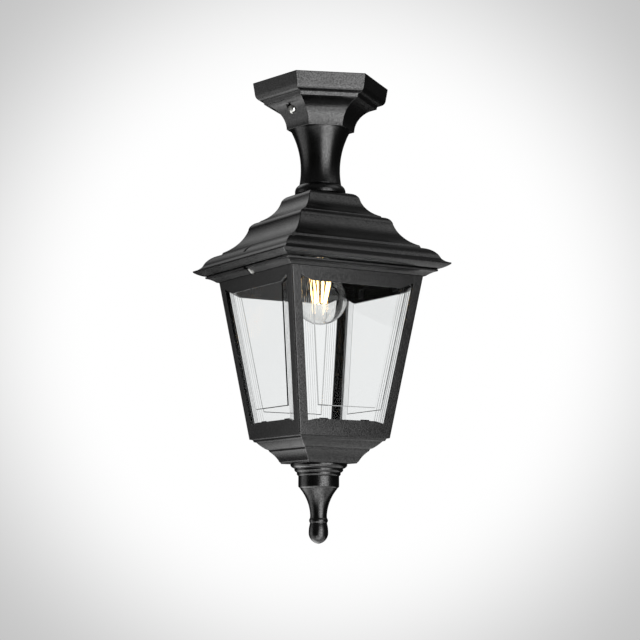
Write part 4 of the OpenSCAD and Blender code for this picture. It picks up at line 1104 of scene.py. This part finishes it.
class LANTERN_OT_finial(bpy.types.Operator):
    """Turns the finial's base, drum, drop and acorn"""
    bl_idname = "lantern.finial"
    bl_label = "Finial"

    def execute(self, context):
        z, at = measures()
        steps, round_steps, ring_steps = z["curve_steps"], z["turn_steps"], 6
        top, base, drum_foot, drop_end = at["tray_foot"], at["base_foot"], at["drum_foot"], at["drop_foot"]
        bore, drum_radius = 3, 20.85
        ring1, ring1_foot = (29.0, top - 1.8), (25.6, top - 4.8)
        ring2, ring2_foot = (24.9, top - 6.8), (22.7, top - 8.8)
        ring3 = (22.4, base + 1.8)
        loop = [(bore, top), (ring1[0], top), ring1] + arc(ring1, ring1_foot, -50, ring_steps)
        loop += [(ring2[0], ring1_foot[1] - 0.3), ring2] + arc(ring2, ring2_foot, -50, ring_steps)
        loop += [(ring3[0], ring2_foot[1] - 0.3), ring3]
        loop += arc(ring3, (drum_radius, base), -40, ring_steps) + [(bore, base)]
        piece = turning("finial_base_turning", eased(loop, 0.35), round_steps)
        finish(smoothed(piece), "cage", "finial_base", "cast_black")
        drum, under = (drum_radius, drum_foot + 0.6), (20.05, drum_foot - 1)
        drop, drop_foot = (18.65, at["drop_top"]), (8.5, drop_end)
        bead, bead_foot = (8.7, drop_end - 2.3), (8.8, drop_end - 6.9)
        acorn, wide = (8.8, at["acorn_top"]), (9.94, at["acorn_top"] - 8.23)
        loop = [(0, base), (drum_radius, base), drum] + arc(drum, under, -50, ring_steps)
        loop += [(19.25, drum_foot - 1.6), drop] + arc(drop, drop_foot, 37, 2 * steps)
        loop += [bead] + arc(bead, bead_foot, -80, steps)
        loop += [(8.7, at["acorn_top"] + 0.6), acorn] + arc(acorn, wide, -14, 8)
        loop += arc(wide, (0, at["tip"]), -88, 2 * steps)
        loop[-1] = (0, at["tip"])
        piece = turning("finial_turning", eased(loop, 0.35), round_steps, closed=False)
        finish(smoothed(piece), "cage", "finial", "cast_black")
        return {"FINISHED"}


def strands(name, top, foot, thickness, slot):
    """A cone of six strands between two points of radius and level."""
    cone = through_tree(
        mesh_object(name, []), "Cone of strands", strand_tree, Count=6, Top_Radius=top[0] * MM,
        Top_Level=top[1] * MM, Foot_Radius=foot[0] * MM, Foot_Level=foot[1] * MM, Thickness=thickness * MM,
        Material=material_for(slot))
    cone.data.transform(Matrix.Rotation(math.radians(STRAND_TURN), 4, "Z"))
    return cone


class LANTERN_OT_lamp(bpy.types.Operator):
    """Blows the lamp's glass and fits its cap, stem, filaments and wires"""
    bl_idname = "lantern.lamp"
    bl_label = "Lamp"

    def execute(self, context):
        z, _ = measures()
        lamp_top, radius = -154.2, z["lamp_diameter"] / 2
        cap_top, cap_foot, tip = lamp_top - 4.5, lamp_top - 27, lamp_top - 96.8
        cap_radius, shoulder_angle = 13.2, math.radians(31)

        def bulb(wall):
            """The outline of the glass from its neck to its tip, with a wall off it."""
            neck, end = (cap_radius - 0.7 - wall, cap_foot - 1), (0, tip + wall)
            bulge = radius - wall
            shoulder = (bulge * math.cos(shoulder_angle), tip + radius + bulge * math.sin(shoulder_angle))
            return ([(neck[0], cap_top - 3), neck] + arc(neck, shoulder, 30, 20)
                    + arc(shoulder, end, -121, 40)[:-1] + [end])

        glass = turning("lamp_bulb", bulb(0) + bulb(0.8)[::-1], z["turn_steps"])
        finish(smoothed(glass), "lamp", "lamp_envelope", "lamp_glass")
        thread_depth, thread_length, turns, turn_steps = 0.25, 18.5, 5, 12
        thread_steps = turns * turn_steps
        thread = [(cap_radius - thread_depth + thread_depth * math.cos(math.tau * k / turn_steps),
                   cap_top - 2 - k * thread_length / thread_steps) for k in range(thread_steps + 1)]
        loop = [(12.5, cap_top), (12.7, cap_top - 1)] + thread + [(13.0, cap_foot), (12.5, cap_foot)]
        finish(smoothed(turning("lamp_cap_shell", loop, 64)), "lamp", "lamp_cap", "lamp_cap_nickel")
        flare, flare_foot = (cap_radius - 1.5, cap_foot - 1), (2.6, cap_foot - 14)
        stem_foot = cap_foot - 47
        loop = [(0, flare[1]), flare] + arc(flare, flare_foot, 40, 16) + [(1.8, stem_foot), (0, stem_foot)]
        stem = turning("lamp_stem_glass", eased(loop, 0.4), 48, closed=False)
        finish(smoothed(stem), "lamp", "lamp_stem", "lamp_glass")
        top, foot = (11.9, cap_foot - 17), (5.4, cap_foot - 48)
        cone = strands("lamp_filament_cone", top, foot, 2.1, "filament")
        finish(smoothed(cone, 0.3, 50), "lamp", "lamp_filaments", "filament")
        wires = [strands("wire", a, b, 0.6, "zinc_steel") for a, b in (
            ((2.65, top[1] + 3.3), (top[0], top[1] + 0.35)),
            ((1.4, foot[1] + 1.8), (foot[0] - 0.8, foot[1] + 0.5)))]
        finish(smoothed(joined("lamp_support_wires", *wires)), "lamp", "lamp_wires", "zinc_steel")
        softened("lamp_cap_insulator", "lamp", "phenolic", 0.25)
        softened("lamp_cap_contact", "lamp", "lamp_cap_nickel", 0.25)
        return {"FINISHED"}


class LANTERN_OT_lampholder(bpy.types.Operator):
    """Finishes the lampholder's moulded shells, insert and contacts"""
    bl_idname = "lantern.lampholder"
    bl_label = "Lampholder"

    def execute(self, context):
        for node, slot in (
                ("lampholder_cap", "phenolic"), ("lampholder_skirt", "phenolic"),
                ("lampholder_insert", "porcelain"), ("lampholder_shell", "brass"),
                ("lampholder_contact", "brass")):
            softened(node, "root", slot, 0.3)
        return {"FINISHED"}


class LANTERN_OT_ceiling_fittings(bpy.types.Operator):
    """Finishes the bracket, terminals, leads and stem behind the canopy"""
    bl_idname = "lantern.ceiling_fittings"
    bl_label = "Ceiling fittings"

    def execute(self, context):
        for node, slot in (
                ("ceiling_bracket", "zinc_steel"), ("terminal_block", "terminal_nylon"),
                ("terminal_screws", "brass"), ("earth_screw", "brass"), ("lead_live", "lead_brown"),
                ("lead_neutral", "lead_blue"), ("lead_earth", "lead_green_yellow"),
                ("stem_tube", "zinc_steel"), ("stem_nuts", "zinc_steel"), ("stem_washers", "zinc_steel")):
            softened(node, "root", slot, 0.2)
        return {"FINISHED"}


class LANTERN_OT_hinge_and_catch(bpy.types.Operator):
    """Finishes the hinge pin, the catch and the finial's stud and nut"""
    bl_idname = "lantern.hinge_and_catch"
    bl_label = "Hinge and catch"

    def execute(self, context):
        for node, body, slot in (
                ("hinge_pin", "root", "stainless"), ("catch_pin", "cage", "stainless"),
                ("catch_lever", "catch", "stainless"), ("finial_stud", "cage", "zinc_steel"),
                ("finial_nut", "cage", "zinc_steel")):
            softened(node, body, slot, 0.15)
        return {"FINISHED"}


# ------------------------------------------------------------------ stage


# The photo's camera, solved from the lantern's outline: degrees, metres and millimetres of lens
VIEW_AZIMUTH = -30.32
VIEW_PITCH = 7.232
VIEW_ROLL = 0.302
CAMERA_AT = (-0.96545, -1.65068, -0.48886)
LENS = 105.36
LENS_SHIFT = 0.0008
CENTRE = Vector((0, 0, -0.24))


def heading(azimuth, elevation):
    """A direction: azimuth 0 is towards the front, 90 towards the right."""
    a, e = math.radians(azimuth), math.radians(elevation)
    return Vector((math.sin(a) * math.cos(e), -math.cos(a) * math.cos(e), math.sin(e)))


AHEAD = -heading(VIEW_AZIMUTH, -VIEW_PITCH)


def soft_lamp(name, azimuth, elevation, distance, width, height, edge, strength):
    """A flat lamp that faces the lantern, as bright in its middle as a mirror shows it, which
    fades over its edge, a share of its half width. Light through glass doesn't see it."""
    data = bpy.data.lights.new(name, "AREA")
    data.shape = "RECTANGLE"
    data.size, data.size_y = width, height
    data.energy = strength * math.pi * width * height
    data.use_nodes = True
    tree = data.node_tree
    tree.nodes.clear()
    spot = add(tree, "ShaderNodeSeparateXYZ", [add(tree, "ShaderNodeNewGeometry").outputs["Parametric"]])
    fades = []
    for axis in "XY":
        signed = add(tree, "ShaderNodeMath", [spot.outputs[axis], 2.0, -1.0], operation="MULTIPLY_ADD")
        off = add(tree, "ShaderNodeMath", [signed], operation="ABSOLUTE")
        fades.append(add(tree, "ShaderNodeMapRange", [off, 1.0 - edge, 1.0, 1.0, 0.0],
                         interpolation_type="SMOOTHSTEP"))
    fade = add(tree, "ShaderNodeMath", fades, operation="MULTIPLY")
    add(tree, "ShaderNodeOutputLight", [add(tree, "ShaderNodeEmission", {"Strength": fade})])
    lamp = linked(name, data)
    lamp.location = CENTRE + distance * heading(azimuth, elevation)
    lamp.rotation_euler = (CENTRE - lamp.location).to_track_quat("-Z", "Y").to_euler()
    lamp.visible_transmission = False


class LANTERN_OT_stage(bpy.types.Operator):
    """Sets the pale floor, the white room, the soft lamps and the camera"""
    bl_idname = "lantern.stage"
    bl_label = "Stage"

    def execute(self, context):
        studio = context.scene.lantern_studio
        self.floor(studio)
        self.room(context.scene, studio)
        # Azimuth from the camera's, elevation, distance, width, height, soft edge and brightness
        for name, *place in (
                ("key_lamp", 32, -15, 2.0, 2.55, 3.5, 0.72, studio.key),
                ("left_lamp", -94, -15, 1.8, 2.2, 2.8, 0.8, studio.left),
                ("under_lamp", 0, -64, 1.5, 1.7, 1.0, 0.5, studio.under),
                ("low_left_lamp", -148, -54, 1.6, 1.7, 1.6, 0.6, studio.low_left),
                ("high_left_lamp", -138, 45, 1.6, 1.8, 1.2, 0.8, studio.high_left),
                ("high_right_lamp", 74, 43, 1.6, 2.2, 1.3, 0.8, studio.high_right)):
            soft_lamp(name, VIEW_AZIMUTH + place[0], *place[1:])
        self.camera(context.scene)
        context.scene.view_settings.view_transform = "Standard"
        return {"FINISHED"}

    def floor(self, studio):
        """Matt painted board, which keeps a soft shadow on a pale ground."""
        reach, level = 4000, -3200
        corners = ((-reach, -reach), (reach, -reach), (reach, reach), (-reach, reach))
        floor = mesh_object("floor", [(x, y, level) for x, y in corners], [(0, 1, 2, 3)])
        material, tree, place = material_tree("Matt painted board")
        fine = add(tree, "ShaderNodeTexNoise", {"Vector": place, "Scale": 1 / (4 * MM), "Detail": 2})
        tone = add(tree, "ShaderNodeMix", [fine, *between("#e9e9e8", "#f2f2f1")], data_type="RGBA")
        ray = add(tree, "ShaderNodeLightPath").outputs
        shiny = add(tree, "ShaderNodeMath", [ray["Is Glossy Ray"], studio.floor], operation="MULTIPLY")
        pale = add(tree, "ShaderNodeMath", [ray["Is Camera Ray"], 0.26, shiny], operation="MULTIPLY_ADD")
        cover(tree, Base_Color=tone, Roughness=0.8, Emission_Color=linear("#ffffff"), Emission_Strength=pale)
        floor.data.materials.append(material)

    def room(self, scene, studio):
        """White behind the lantern, falling off to pale grey away from the middle of the view. The
        camera and light through glass see it, and shiny and dull surfaces see a dimmer room."""
        scene.world = bpy.data.worlds.new("room")
        scene.world.use_nodes = True
        tree = scene.world.node_tree
        tree.nodes.clear()
        direction = add(tree, "ShaderNodeTexCoord").outputs["Generated"]
        facing = add(tree, "ShaderNodeVectorMath", [direction, AHEAD], operation="DOT_PRODUCT")
        near = add(tree, "ShaderNodeMath", [facing, 1.0], operation="MINIMUM")
        angle = add(tree, "ShaderNodeMath", [near], operation="ARCCOSINE")
        backdrop = add(tree, "ShaderNodeMapRange", [angle, math.radians(7), math.radians(14), 1.0, 0.56],
                       interpolation_type="SMOOTHSTEP")
        height = add(tree, "ShaderNodeSeparateXYZ", [direction]).outputs["Z"]
        walls = add(tree, "ShaderNodeMapRange", [height, 0.1, 0.6, 0.15 * studio.room, studio.room])
        ray = add(tree, "ShaderNodeLightPath").outputs
        seen = add(tree, "ShaderNodeMath", [ray["Is Camera Ray"], ray["Is Transmission Ray"]],
                   operation="MAXIMUM")
        strength = add(tree, "ShaderNodeMath", [ray["Is Diffuse Ray"], 0.35], operation="MULTIPLY")
        for kind, light in ((ray["Is Glossy Ray"], walls), (seen, backdrop)):
            share = add(tree, "ShaderNodeMath", [kind, light], operation="MULTIPLY")
            strength = add(tree, "ShaderNodeMath", [strength, share], operation="MAXIMUM")
        light = add(tree, "ShaderNodeBackground", {"Color": linear("#ffffff"), "Strength": strength})
        add(tree, "ShaderNodeOutputWorld", [light])

    def camera(self, scene):
        data = bpy.data.cameras.new("view")
        data.sensor_width = 36.0
        data.lens = LENS
        data.shift_x = LENS_SHIFT
        data.clip_start, data.clip_end = 0.01, 50.0
        scene.camera = linked("view", data)
        roll = Matrix.Rotation(-math.radians(VIEW_ROLL), 3, AHEAD)
        level = AHEAD.cross(UP).normalized()
        right, up = roll @ level, roll @ level.cross(AHEAD)
        turn = Matrix((right, up, -AHEAD)).transposed()
        scene.camera.matrix_world = Matrix.Translation(CAMERA_AT) @ turn.to_4x4()


# ------------------------------------------------------------------ panel and run


OPERATORS = (
    LANTERN_OT_canopy, LANTERN_OT_canopy_screws, LANTERN_OT_neck, LANTERN_OT_roof, LANTERN_OT_cornice,
    LANTERN_OT_side_frames, LANTERN_OT_panes, LANTERN_OT_pane_clips, LANTERN_OT_tray, LANTERN_OT_finial,
    LANTERN_OT_lamp, LANTERN_OT_lampholder, LANTERN_OT_ceiling_fittings, LANTERN_OT_hinge_and_catch,
    LANTERN_OT_stage,
)


class LANTERN_PT_panel(bpy.types.Panel):
    """Lists the lantern's sizes, colours, lamps and pieces"""
    bl_idname = "LANTERN_PT_panel"
    bl_label = "Porch lantern"
    bl_space_type = "VIEW_3D"
    bl_region_type = "UI"
    bl_category = "Lantern"

    def draw(self, context):
        scene = context.scene
        for group in (scene.lantern_sizes, scene.lantern_colours, scene.lantern_studio):
            box = self.layout.box()
            for prop in group.bl_rna.properties:
                if prop.identifier not in ("rna_type", "name"):
                    box.prop(group, prop.identifier)
        for operator in OPERATORS:
            self.layout.operator(operator.bl_idname)


CLASSES = (LanternSizes, LanternColours, LanternStudio) + OPERATORS + (LANTERN_PT_panel,)


def register():
    for item in CLASSES:
        bpy.utils.register_class(item)
    bpy.types.Scene.lantern_sizes = PointerProperty(type=LanternSizes)
    bpy.types.Scene.lantern_colours = PointerProperty(type=LanternColours)
    bpy.types.Scene.lantern_studio = PointerProperty(type=LanternStudio)


def unregister():
    del bpy.types.Scene.lantern_sizes, bpy.types.Scene.lantern_colours, bpy.types.Scene.lantern_studio
    for item in reversed(CLASSES):
        bpy.utils.unregister_class(item)


def main():
    register()
    for operator in OPERATORS:
        group, name = operator.bl_idname.split(".")
        getattr(getattr(bpy.ops, group), name)()


if __name__ == "__main__":
    main()
